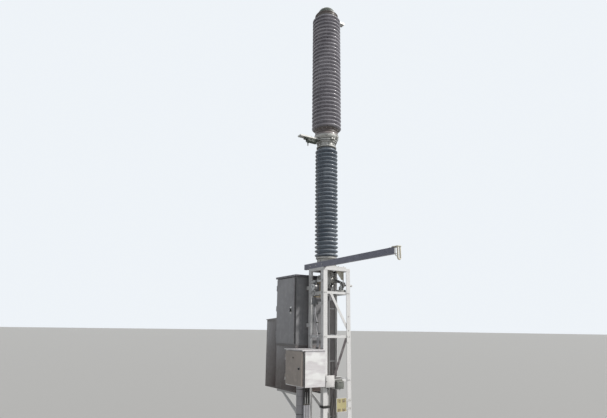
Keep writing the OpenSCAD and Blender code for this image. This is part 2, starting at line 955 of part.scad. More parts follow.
// Gas line from the crank case down inside the left face and out to the gauge.
module gas_pipes() {
    drop_x = -196;
    port_z = 2620;
    side = 45;
    port_x = -sqrt(housing_r * housing_r - side * side) - 5;
    color("goldenrod")
        pipe([[port_x, column_y - side, port_z], [drop_x, column_y - side, port_z],
            [drop_x, gauge_y, port_z], [drop_x, gauge_y, line_z],
            [gauge_x, gauge_y, line_z], [gauge_x, gauge_y, line_z + 12]], 6);
}

module switch_box() {
    color("white") {
        block([-251, -half_d - 62, 1074], [143, 62, 158]);
        block([-255, -half_d - 70, 1070], [151, 8.5, 166]);
    }
}

// Small grey box hung under the lower tie on the front.
module socket_box() {
    color("slategray") {
        block([-46, -half_d - 52, 1038], [130, 52, 110]);
        block([-58, -half_d, 1030], [154, 8, 138]);
    }
}

// Blank warning plate on two tabs that reach to the front right post.
module sign_plate() {
    color("gold") {
        block([-26, -half_d - 7, 705], [190, 3, 198]);
        for (z = [735, 850])
            block([90, -half_d - 4, z], [half_w - 96, 4, 26]);
    }
}

// Channel laid along the left edge of the top ring, its web to the left.
module side_arm() {
    color("dimgray")
        difference() {
            block([arm_x, arm_front, frame_top], [arm_w, arm_l, arm_h]);
            block([arm_x + arm_sheet, arm_front - eps, frame_top + arm_sheet],
                [arm_w, arm_l + 2 * eps, arm_h - 2 * arm_sheet]);
        }
}

// U loop that hangs from height z at the arm's front end.
module hanging_loop(y, z, bend, leg, rod) {
    translate([arm_x + arm_w / 2, y, z - leg]) {
        for (side = [-1, 1])
            translate([side * bend, 0, 0]) cylinder(h = leg, r = rod, $fn = 32);
        rotate([-90, 0, 0])
            rotate_extrude(angle = 180)
                translate([bend, 0]) circle(r = rod, $fn = 32);
    }
}

// Thick link and a thinner loop welded under a strap on the arm's front end.
module arm_loops() {
    strap_z = frame_top + arm_h;
    color("khaki") {
        block([arm_x + arm_w / 2 - 34, arm_front - 78, strap_z], [68, 120, 8]);
        hanging_loop(arm_front - 62, strap_z + 1, 21, 145, 11);
        hanging_loop(arm_front - 18, strap_z + 1, 25, 95, 5);
    }
}

plinth();
foot_plates();
post_front_left();
post_front_right();
post_rear_left();
post_rear_right();
top_frame();
upper_tie_ring();
middle_tie_ring();
lower_tie_ring();
rear_tie();
front_braces();
cable_tray();
tray_cables();
column_plate();
drive_housing();
bearing_bracket();
drive_lever();
dashpot();
drive_rod();
filling_valve();
base_flange();
support_insulator();
support_cap_flange();
neck_housing();
lower_terminal();
terminal_clamp();
interrupter_base_flange();
interrupter_insulator();
interrupter_top_flange();
top_cap();
lifting_eyes();
upper_terminal();
cabinet_shell();
cabinet_roof();
cabinet_door();
cabinet_handle();
operating_cylinder();
lower_housing();
cabinet_brackets();
cabinet_bearers();
junction_box_shell();
junction_box_roof();
junction_box_door();
junction_box_lock();
terminal_strips();
junction_box_brackets();
cable_hose();
conduits();
conduit_cables();
riser_conduit();
instrument_rails();
density_gauge();
pressure_switch();
gas_pipes();
switch_box();
socket_box();
sign_plate();
side_arm();
arm_loops();
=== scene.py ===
"""One pole of an outdoor circuit breaker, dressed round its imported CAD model."""
import json
import random
from math import cos, pi, radians, sin

import bmesh
import bpy
from mathutils import Matrix, Vector


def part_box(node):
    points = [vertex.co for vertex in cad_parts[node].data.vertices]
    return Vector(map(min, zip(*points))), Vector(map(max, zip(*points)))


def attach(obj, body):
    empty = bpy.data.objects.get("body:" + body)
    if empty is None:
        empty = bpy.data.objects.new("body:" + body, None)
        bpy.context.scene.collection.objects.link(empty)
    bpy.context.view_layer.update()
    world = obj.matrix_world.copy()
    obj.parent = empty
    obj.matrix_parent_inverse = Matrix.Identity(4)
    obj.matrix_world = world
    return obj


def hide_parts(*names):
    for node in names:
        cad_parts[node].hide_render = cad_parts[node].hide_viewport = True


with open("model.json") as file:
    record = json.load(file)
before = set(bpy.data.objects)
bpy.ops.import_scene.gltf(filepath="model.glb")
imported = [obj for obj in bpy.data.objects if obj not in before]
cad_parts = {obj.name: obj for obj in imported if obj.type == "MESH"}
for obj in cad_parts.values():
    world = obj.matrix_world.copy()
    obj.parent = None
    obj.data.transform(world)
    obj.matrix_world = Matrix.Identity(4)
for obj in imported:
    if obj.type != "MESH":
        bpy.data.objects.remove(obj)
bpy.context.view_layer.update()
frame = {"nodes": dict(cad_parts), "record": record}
random.seed(7)

# Camera, lamps and floor

# The camera of the photo, in metres and degrees.
EYE = (-4.387, -6.342, 1.9)
PITCH = 14.32
HEADING = 31.44
ROLL = 0.75
PHOTO_WIDTH = 607
FOCAL_PIXELS = 470
SENSOR = 36.0

# Light: the turn and the size of the sun are in degrees.
SUN_COLOUR = (1.0, 0.97, 0.93)
SUN_STRENGTH = 3.3
SUN_TURN = (50, 0, 45)
SUN_SIZE = 6
SKY_COLOUR = (0.8, 0.86, 0.95, 1)
SKY_STRENGTH = 0.22
BACKDROP_COLOUR = (0.86, 0.9, 0.94, 1)
FLOOR_COLOUR = (0.5, 0.5, 0.49, 1)
FLOOR_HALF = 600


def add_to_scene(name, data):
    made = bpy.data.objects.new(name, data)
    bpy.context.scene.collection.objects.link(made)
    return made


def set_camera():
    lens = bpy.data.cameras.new("photo_lens")
    lens.sensor_width = SENSOR
    lens.lens = FOCAL_PIXELS / PHOTO_WIDTH * SENSOR
    lens.clip_end = 2000
    camera = add_to_scene("photo_camera", lens)
    camera.matrix_world = (Matrix.Translation(EYE) @ Matrix.Rotation(radians(-HEADING), 4, "Z")
                           @ Matrix.Rotation(radians(90 + PITCH), 4, "X")
                           @ Matrix.Rotation(radians(ROLL), 4, "Z"))
    bpy.context.scene.camera = camera


def add_sun():
    lamp = bpy.data.lights.new("key_lamp", "SUN")
    lamp.energy = SUN_STRENGTH
    lamp.color = SUN_COLOUR
    lamp.angle = radians(SUN_SIZE)
    holder = add_to_scene("key_lamp", lamp)
    holder.rotation_euler = [radians(a) for a in SUN_TURN]


def add_sky():
    """Soft sky light; the camera, mirrors and glass see a plain pale backdrop in its place."""
    world = bpy.data.worlds.new("studio")
    world.use_nodes = True
    nodes, link = world.node_tree.nodes, world.node_tree.links.new
    room = nodes["Background"]
    room.inputs["Color"].default_value = SKY_COLOUR
    room.inputs["Strength"].default_value = SKY_STRENGTH
    backdrop = nodes.new("ShaderNodeBackground")
    backdrop.inputs["Color"].default_value = BACKDROP_COLOUR
    rays = nodes.new("ShaderNodeLightPath")
    choose = nodes.new("ShaderNodeMixShader")
    seen = rays.outputs["Is Camera Ray"]
    for kind in ("Is Glossy Ray", "Is Transmission Ray"):
        either = nodes.new("ShaderNodeMath")
        either.operation = "MAXIMUM"
        link(seen, either.inputs[0])
        link(rays.outputs[kind], either.inputs[1])
        seen = either.outputs[0]
    link(seen, choose.inputs["Fac"])
    link(room.outputs[0], choose.inputs[1])
    link(backdrop.outputs[0], choose.inputs[2])
    link(choose.outputs[0], nodes["World Output"].inputs["Surface"])
    bpy.context.scene.world = world
    bpy.context.scene.view_settings.view_transform = "Standard"


def add_floor():
    shape = bmesh.new()
    bmesh.ops.create_grid(shape, x_segments=1, y_segments=1, size=FLOOR_HALF)
    mesh = bpy.data.meshes.new("floor")
    shape.to_mesh(mesh)
    shape.free()
    floor = add_to_scene("floor", mesh)
    plain = bpy.data.materials.new("floor_plain")
    plain.use_nodes = True
    shader = plain.node_tree.nodes["Principled BSDF"]
    shader.inputs["Base Color"].default_value = FLOOR_COLOUR
    shader.inputs["Roughness"].default_value = 0.9
    mesh.materials.append(plain)


# Finishes

class Finish:
    """A procedural material on Object coordinates, built up node by node."""

    def __init__(self, name, roughness=0.5, metallic=0.0, coat=0.0, specular=0.5):
        self.material = bpy.data.materials.new(name)
        self.material.use_nodes = True
        self.tree = self.material.node_tree
        self.shader = self.tree.nodes["Principled BSDF"]
        for socket, value in (("Metallic", metallic), ("Roughness", roughness), ("Coat Weight", coat),
                              ("Coat Roughness", 0.12), ("Specular IOR Level", specular)):
            self.shader.inputs[socket].default_value = value
        self.place = self.node("ShaderNodeTexCoord").outputs["Object"]
        self.normal = self.node("ShaderNodeNewGeometry").outputs["Normal"]
        self.base = None

    def node(self, kind, inputs=None, **settings):
        made = self.tree.nodes.new(kind)
        for key, value in settings.items():
            setattr(made, key, value)
        for key, value in (inputs or {}).items():
            self.feed(made.inputs[key], value)
        return made

    def feed(self, socket, value):
        if isinstance(value, bpy.types.NodeSocket):
            self.tree.links.new(value, socket)
        elif hasattr(value, "__len__") and len(value) == 3 and socket.type == "RGBA":
            socket.default_value = (*value, 1)
        else:
            socket.default_value = value

    def stretched(self, stretch):
        if stretch == (1, 1, 1):
            return self.place
        return self.node("ShaderNodeMapping", {"Vector": self.place, "Scale": stretch}).outputs[0]

    def noise(self, scale, detail, stretch=(1, 1, 1), roughness=0.55):
        return self.node("ShaderNodeTexNoise", {"Vector": self.stretched(stretch), "Scale": scale,
                         "Detail": detail, "Roughness": roughness}).outputs["Fac"]

    def cells(self, scale, output="Distance"):
        return self.node("ShaderNodeTexVoronoi", {"Vector": self.place, "Scale": scale}).outputs[output]

    def ramp(self, value, low, high, a=0.0, b=1.0):
        return self.node("ShaderNodeMapRange", {"Value": value, "From Min": low, "From Max": high,
                         "To Min": a, "To Max": b}).outputs["Result"]

    def maths(self, operation, a, b):
        return self.node("ShaderNodeMath", {0: a, 1: b}, operation=operation, use_clamp=True).outputs[0]

    def both(self, a, b):
        return self.maths("MULTIPLY", a, b)

    def inverse(self, value):
        return self.maths("SUBTRACT", 1.0, value)

    def mix(self, amount, a, b):
        made = self.node("ShaderNodeMix", data_type="RGBA")
        self.feed(made.inputs[0], amount)
        self.feed(made.inputs[6], a)
        self.feed(made.inputs[7], b)
        return made.outputs[2]

    def over(self, mask, strength, tone):
        """Lay a tone over the base colour where the mask is, up to a strength."""
        self.base = self.mix(self.both(mask, strength), self.base, tone)

    def patches(self, scale, detail, low, high, a=0.0, b=1.0, stretch=(1, 1, 1), roughness=0.55):
        """Soft spots, clouds or runs: noise cut to a range."""
        return self.ramp(self.noise(scale, detail, stretch, roughness), low, high, a, b)

    def upward(self, low=0.2, high=0.95):
        """Faces that look up, where dust settles."""
        split = self.node("ShaderNodeSeparateXYZ", {0: self.normal})
        return self.ramp(split.outputs["Z"], low, high)

    def height(self, low, high, a=0.0, b=1.0):
        """A change between two levels above the ground."""
        split = self.node("ShaderNodeSeparateXYZ", {0: self.place})
        return self.ramp(split.outputs["Z"], low, high, a, b)

    def rounded(self, radius):
        """Normal with softened edges."""
        return self.node("ShaderNodeBevel", {"Radius": radius}, samples=4).outputs[0]

    def edges(self):
        """Outer edges, where paint chips."""
        along = self.node("ShaderNodeVectorMath", {0: self.rounded(0.004), 1: self.normal},
                          operation="DOT_PRODUCT").outputs["Value"]
        return self.ramp(self.inverse(along), 0.02, 0.2)

    def occlusion_shade_and_grime(self, distance):
        """Corners and gaps: painted shade from an ambient occlusion node, with the grime that stays there.
        """
        shade = self.node("ShaderNodeAmbientOcclusion", {"Distance": distance}, samples=6).outputs["AO"]
        return self.ramp(shade, 0.35, 0.95, 1.0, 0.0)

    def bump(self, value, distance, strength, below=None):
        inputs = {"Height": value, "Distance": distance, "Strength": strength}
        if below is not None:
            inputs["Normal"] = below
        made = self.node("ShaderNodeBump", inputs).outputs[0]
        self.feed(self.shader.inputs["Normal"], made)
        return made

    def done(self, roughness, *bump):
        """The material with its base colour, its roughness and the last bump."""
        self.feed(self.shader.inputs["Base Color"], self.base)
        self.feed(self.shader.inputs["Roughness"], roughness)
        if bump:
            self.bump(*bump)
        return self.material


DUST = (0.6, 0.55, 0.46)
# Dark tone laid in corners and gaps: painted shade and grime.
GRIME_AND_SHADE = (0.12, 0.11, 0.1)
RUST = (0.3, 0.13, 0.05)
ZINC = (0.82, 0.82, 0.82)
BARE_STEEL = (0.45, 0.44, 0.42)


def scaled(tone, share):
    return tuple(c * share for c in tone)


def galvanised(name, shade=None):
    """Zinc with spangle, streaks and rust spots; a shade colour, where given, is painted shade over what
    is below the middle ties.
    """
    f = Finish(name, metallic=0.08, specular=0.35)
    spangle = f.cells(70, output="Color")
    grey = f.node("ShaderNodeSeparateColor", {0: spangle}).outputs[0]
    f.base = f.mix(f.ramp(grey, 0, 1, 0.0, 0.45), ZINC, scaled(ZINC, 0.72))
    clouds = f.patches(3.2, 6, 0.42, 0.66)
    f.over(clouds, 0.35, (0.8, 0.8, 0.78))
    streaks = f.patches(9, 5, 0.55, 0.75, stretch=(3, 3, 0.25))
    f.over(streaks, 0.35, (0.42, 0.41, 0.38))
    # Painted shade and grime in corners and gaps.
    f.over(f.occlusion_shade_and_grime(0.03), 0.55, GRIME_AND_SHADE)
    spots = f.patches(55, 3, 0.72, 0.8)
    f.over(spots, 0.5, RUST)
    # Painted shade: the part below the middle ties is darker.
    if shade:
        painted_shade_below_ties = f.inverse(f.height(1.77, 1.83))
        f.over(painted_shade_below_ties, f.patches(18, 4, 0.2, 0.5, 0.75, 1.0), shade)
    gloss = f.ramp(grey, 0, 1, 0.36, 0.56)
    rough = f.bump(f.noise(240, 3), 0.0004, 0.5, f.rounded(0.003))
    return f.done(gloss, f.cells(26), 0.0006, 0.25, rough)


def painted(name, tone, gloss=0.42, streak=0.25, foot=None):
    """Weathered paint with runs, dust and chipped edges; a foot tone darkens its lower part."""
    f = Finish(name, coat=0.15)
    light = tuple(min(1, c * 1.18 + 0.01) for c in tone)
    f.base = f.mix(f.patches(2.1, 5, 0.35, 0.68), scaled(tone, 0.78), tone)
    f.over(f.patches(13, 6, 0.5, 0.72), 0.55, light)
    runs = f.patches(7, 6, 0.52, 0.74, stretch=(5, 5, 0.22))
    f.over(runs, streak, scaled(tone, 0.5))
    film = f.both(f.upward(), f.patches(18, 5, 0.25, 0.7))
    f.over(film, 0.35, DUST)
    # Painted shade and grime in corners and gaps.
    f.over(f.occlusion_shade_and_grime(0.05), 0.5, GRIME_AND_SHADE)
    chips = f.both(f.edges(), f.patches(60, 5, 0.48, 0.6))
    f.over(chips, 0.35, BARE_STEEL)
    if foot:
        low = f.both(f.height(1.02, 1.95, 1.0, 0.0), f.patches(5, 6, 0.25, 0.6, 0.6, 1.0))
        f.base = f.mix(low, f.base, foot)
    return f.done(f.patches(24, 4, 0.3, 0.75, gloss - 0.08, gloss + 0.16),
                  f.noise(160, 2), 0.0003, 0.35, f.rounded(0.003))


def concrete(name, dark=(0.47, 0.4, 0.29), tone=(0.66, 0.58, 0.44), pale=(0.74, 0.69, 0.58)):
    f = Finish(name, roughness=0.9, specular=0.25)
    f.base = f.mix(f.patches(2.4, 7, 0.33, 0.68), dark, tone)
    f.over(f.patches(22, 8, 0.48, 0.7, roughness=0.7), 0.5, pale)
    grains = f.ramp(f.cells(95), 0.1, 0.42)
    f.over(f.inverse(grains), 0.4, (0.3, 0.27, 0.22))
    damp = f.both(f.height(0.0, 0.12, 1.0, 0.0), f.patches(6, 5, 0.3, 0.62))
    f.over(damp, 0.6, (0.25, 0.21, 0.16))
    drips = f.patches(8, 5, 0.55, 0.75, stretch=(4, 4, 0.3))
    f.over(drips, 0.4, (0.33, 0.29, 0.23))
    waves = f.bump(f.noise(30, 8, roughness=0.7), 0.004, 0.7, f.rounded(0.012))
    pits = f.ramp(f.cells(38), 0.02, 0.16)
    return f.done(0.9, pits, 0.003, 0.5, waves)


def cast_metal(name, tone):
    f = Finish(name, metallic=0.5)
    f.base = f.mix(f.patches(11, 6, 0.35, 0.65), scaled(tone, 0.8), tone)
    runs = f.patches(16, 5, 0.5, 0.74, stretch=(3, 3, 0.3))
    f.over(runs, 0.35, (0.2, 0.18, 0.14))
    # Painted shade and grime in corners and gaps.
    f.over(f.occlusion_shade_and_grime(0.035), 0.7, GRIME_AND_SHADE)
    f.over(f.upward(), 0.3, DUST)
    return f.done(f.patches(90, 4, 0.3, 0.7, 0.38, 0.62),
                  f.noise(320, 4), 0.0008, 0.6, f.rounded(0.003))


def porcelain(name, tone, pale, stain):
    """Glaze with weather runs and a film of dust on the upper sides of the sheds."""
    f = Finish(name, roughness=0.34, coat=0.25, specular=0.4)
    f.base = f.mix(f.patches(3.5, 5, 0.35, 0.66), tone, pale)
    f.over(f.patches(150, 2, 0.55, 0.7), 0.25, scaled(tone, 0.7))
    runs = f.patches(14, 5, 0.48, 0.74, stretch=(2.5, 2.5, 0.12))
    f.over(runs, 0.5, stain)
    film = f.both(f.upward(0.1, 0.9), f.patches(22, 5, 0.2, 0.7))
    f.over(film, 0.45, (0.56, 0.55, 0.51))
    # Faint painted shade and grime between the sheds.
    f.over(f.occlusion_shade_and_grime(0.02), 0.08, GRIME_AND_SHADE)
    return f.done(f.patches(30, 4, 0.3, 0.7, 0.28, 0.5), f.noise(45, 3), 0.0006, 0.25)


def stainless(name):
    f = Finish(name, metallic=0.35)
    grain = f.noise(40, 4, (0.15, 0.15, 9))
    f.base = f.mix(f.ramp(grain, 0.35, 0.65), (0.74, 0.71, 0.72), (0.83, 0.81, 0.82))
    # Bright bands where the sheet waves: painted highlights, a lighter base colour that stands for
    # reflections.
    waves = f.patches(3.0, 2, 0.46, 0.62, stretch=(1.1, 1.1, 2.6))
    f.base = f.mix(waves, f.base, (0.97, 0.97, 0.96))
    prints = f.patches(9, 6, 0.6, 0.74)
    f.over(prints, 0.2, (0.5, 0.47, 0.45))
    # Painted shade and grime in corners and gaps.
    f.over(f.occlusion_shade_and_grime(0.03), 0.5, GRIME_AND_SHADE)
    return f.done(f.ramp(grain, 0.3, 0.7, 0.26, 0.46),
                  grain, 0.0003, 0.35, f.bump(f.noise(3.0, 2, (1.1, 1.1, 2.6)), 0.006, 0.5))


def plastic(name, tone, gloss=0.5):
    f = Finish(name)
    f.base = f.mix(f.patches(9, 5, 0.35, 0.68), scaled(tone, 0.8), tone)
    f.over(f.upward(0.1, 0.9), 0.35, DUST)
    # Painted shade and grime in corners and gaps.
    f.over(f.occlusion_shade_and_grime(0.02), 0.5, GRIME_AND_SHADE)
    return f.done(f.patches(50, 4, 0.3, 0.7, gloss - 0.08, gloss + 0.12),
                  f.noise(260, 3), 0.0004, 0.4)


def bright_metal(name, tone, gloss=0.3):
    f = Finish(name, metallic=0.9)
    f.base = f.mix(f.patches(25, 5, 0.4, 0.7), tone, scaled(tone, 0.6))
    # Painted shade and grime in corners and gaps.
    f.over(f.occlusion_shade_and_grime(0.02), 0.6, GRIME_AND_SHADE)
    return f.done(f.patches(80, 4, 0.3, 0.7, gloss - 0.06, gloss + 0.16),
                  f.noise(300, 3, (1, 1, 0.2)), 0.0002, 0.4)


def clear_glass(name):
    f = Finish(name, roughness=0.04)
    f.shader.inputs["Transmission Weight"].default_value = 0.92
    f.shader.inputs["IOR"].default_value = 1.45
    f.base = f.mix(f.patches(60, 4, 0.45, 0.7, 0.0, 0.2), (0.97, 0.98, 0.98), (0.8, 0.79, 0.74))
    return f.done(f.patches(90, 4, 0.4, 0.75, 0.02, 0.18))


def faded_plate(name):
    """Yellow plate whose brown print has weathered to patches, on pale straps."""
    paint = (0.58, 0.52, 0.27)
    middle_x, middle_z, strap_x = 0.066, 0.795, 0.165
    f = Finish(name, roughness=0.5, coat=0.1)
    place = f.node("ShaderNodeSeparateXYZ", {0: f.place}).outputs

    def away_from(axis, centre, low, high):
        apart = f.node("ShaderNodeMath", {0: place[axis], 1: centre}, operation="SUBTRACT").outputs[0]
        return f.ramp(f.node("ShaderNodeMath", {0: apart}, operation="ABSOLUTE").outputs[0], low, high)

    def between(axis, centre, inner, outer):
        return f.maths("SUBTRACT", away_from(axis, centre, *inner), away_from(axis, centre, *outer))

    f.base = f.mix(f.patches(9, 5, 0.35, 0.68), scaled(paint, 0.8), paint)
    columns = between("X", middle_x, (0.012, 0.02), (0.062, 0.076))
    rows = between("Z", middle_z, (0.036, 0.048), (0.086, 0.094))
    print_left = f.both(f.both(columns, rows), f.patches(38, 5, 0.3, 0.5))
    f.over(print_left, 0.85, (0.17, 0.12, 0.08))
    runs = f.patches(12, 5, 0.5, 0.72, stretch=(4, 4, 0.3))
    f.over(runs, 0.3, DUST)
    f.base = f.mix(f.ramp(place["X"], strap_x - 0.0005, strap_x + 0.0005), f.base, (0.66, 0.65, 0.62))
    # Painted shade and grime in corners and gaps.
    f.over(f.occlusion_shade_and_grime(0.02), 0.4, GRIME_AND_SHADE)
    return f.done(f.patches(24, 4, 0.3, 0.75, 0.4, 0.62), f.noise(120, 3), 0.0004, 0.4)


def make_finishes():
    return {
        "cement": concrete("joint_cement", (0.15, 0.145, 0.135), (0.24, 0.235, 0.22), (0.3, 0.29, 0.27)),
        "clear_glass": clear_glass("dial_glass"),
        "pale_hose": plastic("pale_grey_hose", (0.5, 0.5, 0.52), gloss=0.45),
        "grey_cable": plastic("dusty_cable_sheath", (0.5, 0.47, 0.47)),
        "wire_insulation": plastic("dark_wire_insulation", (0.1, 0.1, 0.11), gloss=0.4),
        "concrete": concrete("rough_concrete"),
        "galvanised_steel": galvanised("hot_dip_galvanising"),
        "cast_aluminium": cast_metal("silver_sand_casting", (0.51, 0.51, 0.49)),
        "dark_steel": painted("dark_steel_paint", (0.2, 0.2, 0.21), gloss=0.38),
        "bright_steel": bright_metal("bright_steel_bar", (0.66, 0.66, 0.65)),
        "grey_porcelain": porcelain("blue_grey_glaze", (0.13, 0.165, 0.21), (0.25, 0.29, 0.34),
                                    (0.075, 0.085, 0.11)),
        "brown_porcelain": porcelain("warm_grey_glaze", (0.27, 0.26, 0.295), (0.46, 0.445, 0.485),
                                     (0.13, 0.12, 0.14)),
        "olive_paint": painted("olive_cap_paint", (0.075, 0.09, 0.07), gloss=0.45),
        # The shell takes the door's grey, made darker: painted shade for the shadow on the cabinet's
        # front.
        "grey_paint": painted("grey_sheet_paint_darkened_as_painted_shade", (0.26, 0.26, 0.27), streak=0.6),
        "door_paint": painted("mid_grey_door_paint", (0.35, 0.345, 0.36)),
        "box_door_paint": painted("tan_grey_door_paint", (0.48, 0.42, 0.375)),
        "flange_paint": painted("umber_flange_paint", (0.16, 0.13, 0.125), gloss=0.4),
        "rim_paint": painted("worn_umber_rim_paint", (0.27, 0.235, 0.235), gloss=0.4),
        "arm_paint": painted("weathered_channel_paint", (0.2, 0.205, 0.27)),
        "dark_paint": painted("dark_grey_channel_paint", (0.12, 0.11, 0.13)),
        # The braces get painted shade below the middle ties.
        "brace_steel_with_painted_shade": galvanised("galvanising_with_painted_shade_below", shade=(0.13, 0.115, 0.12)),
        "brown_grey_paint": painted("brown_grey_sheet_paint", (0.25, 0.235, 0.235),
                                    foot=(0.095, 0.072, 0.066)),
        "black_plastic": plastic("black_moulding", (0.03, 0.03, 0.03)),
        "stainless_steel": stainless("brushed_stainless_sheet"),
        "conduit_plastic": plastic("pale_conduit", (0.46, 0.46, 0.49), gloss=0.42),
        "dark_hose": plastic("blue_grey_duct", (0.46, 0.45, 0.47), gloss=0.36),
        "green_grey_paint": painted("grey_green_box_paint", (0.18, 0.19, 0.17)),
        "faded_plate": faded_plate("weathered_yellow_plate"),
        "beige_plastic": plastic("beige_terminal_moulding", (0.55, 0.5, 0.36)),
        "brass": bright_metal("dull_brass", (0.3, 0.25, 0.17), gloss=0.45),
        "white_paint": painted("white_box_paint", (0.86, 0.85, 0.84)),
        "cream_paint": painted("cream_bracket_paint", (0.78, 0.74, 0.62), streak=0.15),
    }


# CAD nodes that take another look than that of their material slot.
OWN_LOOKS = {"tray_cables": "grey_cable", "front_braces": "brace_steel_with_painted_shade", "sign_plate": "faded_plate"}


def dress_cad_nodes():
    slots = {part["node"]: part["material_slot"] for part in frame["record"]["subparts"]}
    for name, node in frame["nodes"].items():
        node.data.materials.clear()
        node.data.materials.append(FINISHES[OWN_LOOKS.get(name, slots[name])])


# Directions and places, in metres; z is the height above the ground

UP, DOWN = (0, 0, 1), (0, 0, -1)
LEFT, RIGHT = (-1, 0, 0), (1, 0, 0)
FRONT, BACK = (0, -1, 0), (0, 1, 0)


def span(name, axis="z"):
    """Where a CAD node starts and ends along an axis, to a tenth of a millimetre."""
    return [round(corner["xyz".index(axis)], 4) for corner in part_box(name)]


def middle(name, axis="z"):
    return sum(span(name, axis)) / 2


COLUMN_Y = 0.085
NECK_FOOT, NECK_TOP = span("neck_housing")
CAP_FOOT, CAP_TOP = span("top_cap")
PALM_FOOT, PALM_TOP = span("lower_terminal")
PLATE_TOP = span("column_plate")[1]
FOOT_PLATE_TOP = span("foot_plates")[1]
POST_X = span("top_frame", "x")[1]
POST_Y = span("top_frame", "y")[1]
ARM_FOOT, ARM_TOP = span("side_arm")
TIE_LEVELS = [middle(ring) for ring in ("lower_tie_ring", "middle_tie_ring", "upper_tie_ring")]
CLAMP_BOLT_X = -0.385
CRANK_Z = 2.69
ROD_X, ROD_Z = middle("drive_rod", "x"), middle("drive_rod")
CONDUIT_PLACES = [(x, -0.15) for x in (-0.546, -0.509, -0.472)]
RISER = (-0.165, -0.145)
CABINET_HINGE, CABINET_HINGE_LEVELS = (-0.47, 0.902), (1.77, 2.19, 2.53)
BOX_HINGE, BOX_HINGE_LEVELS = (-0.654, 0.237), (1.153, 1.442)
HINGE_LENGTH = 0.081


# Pieces

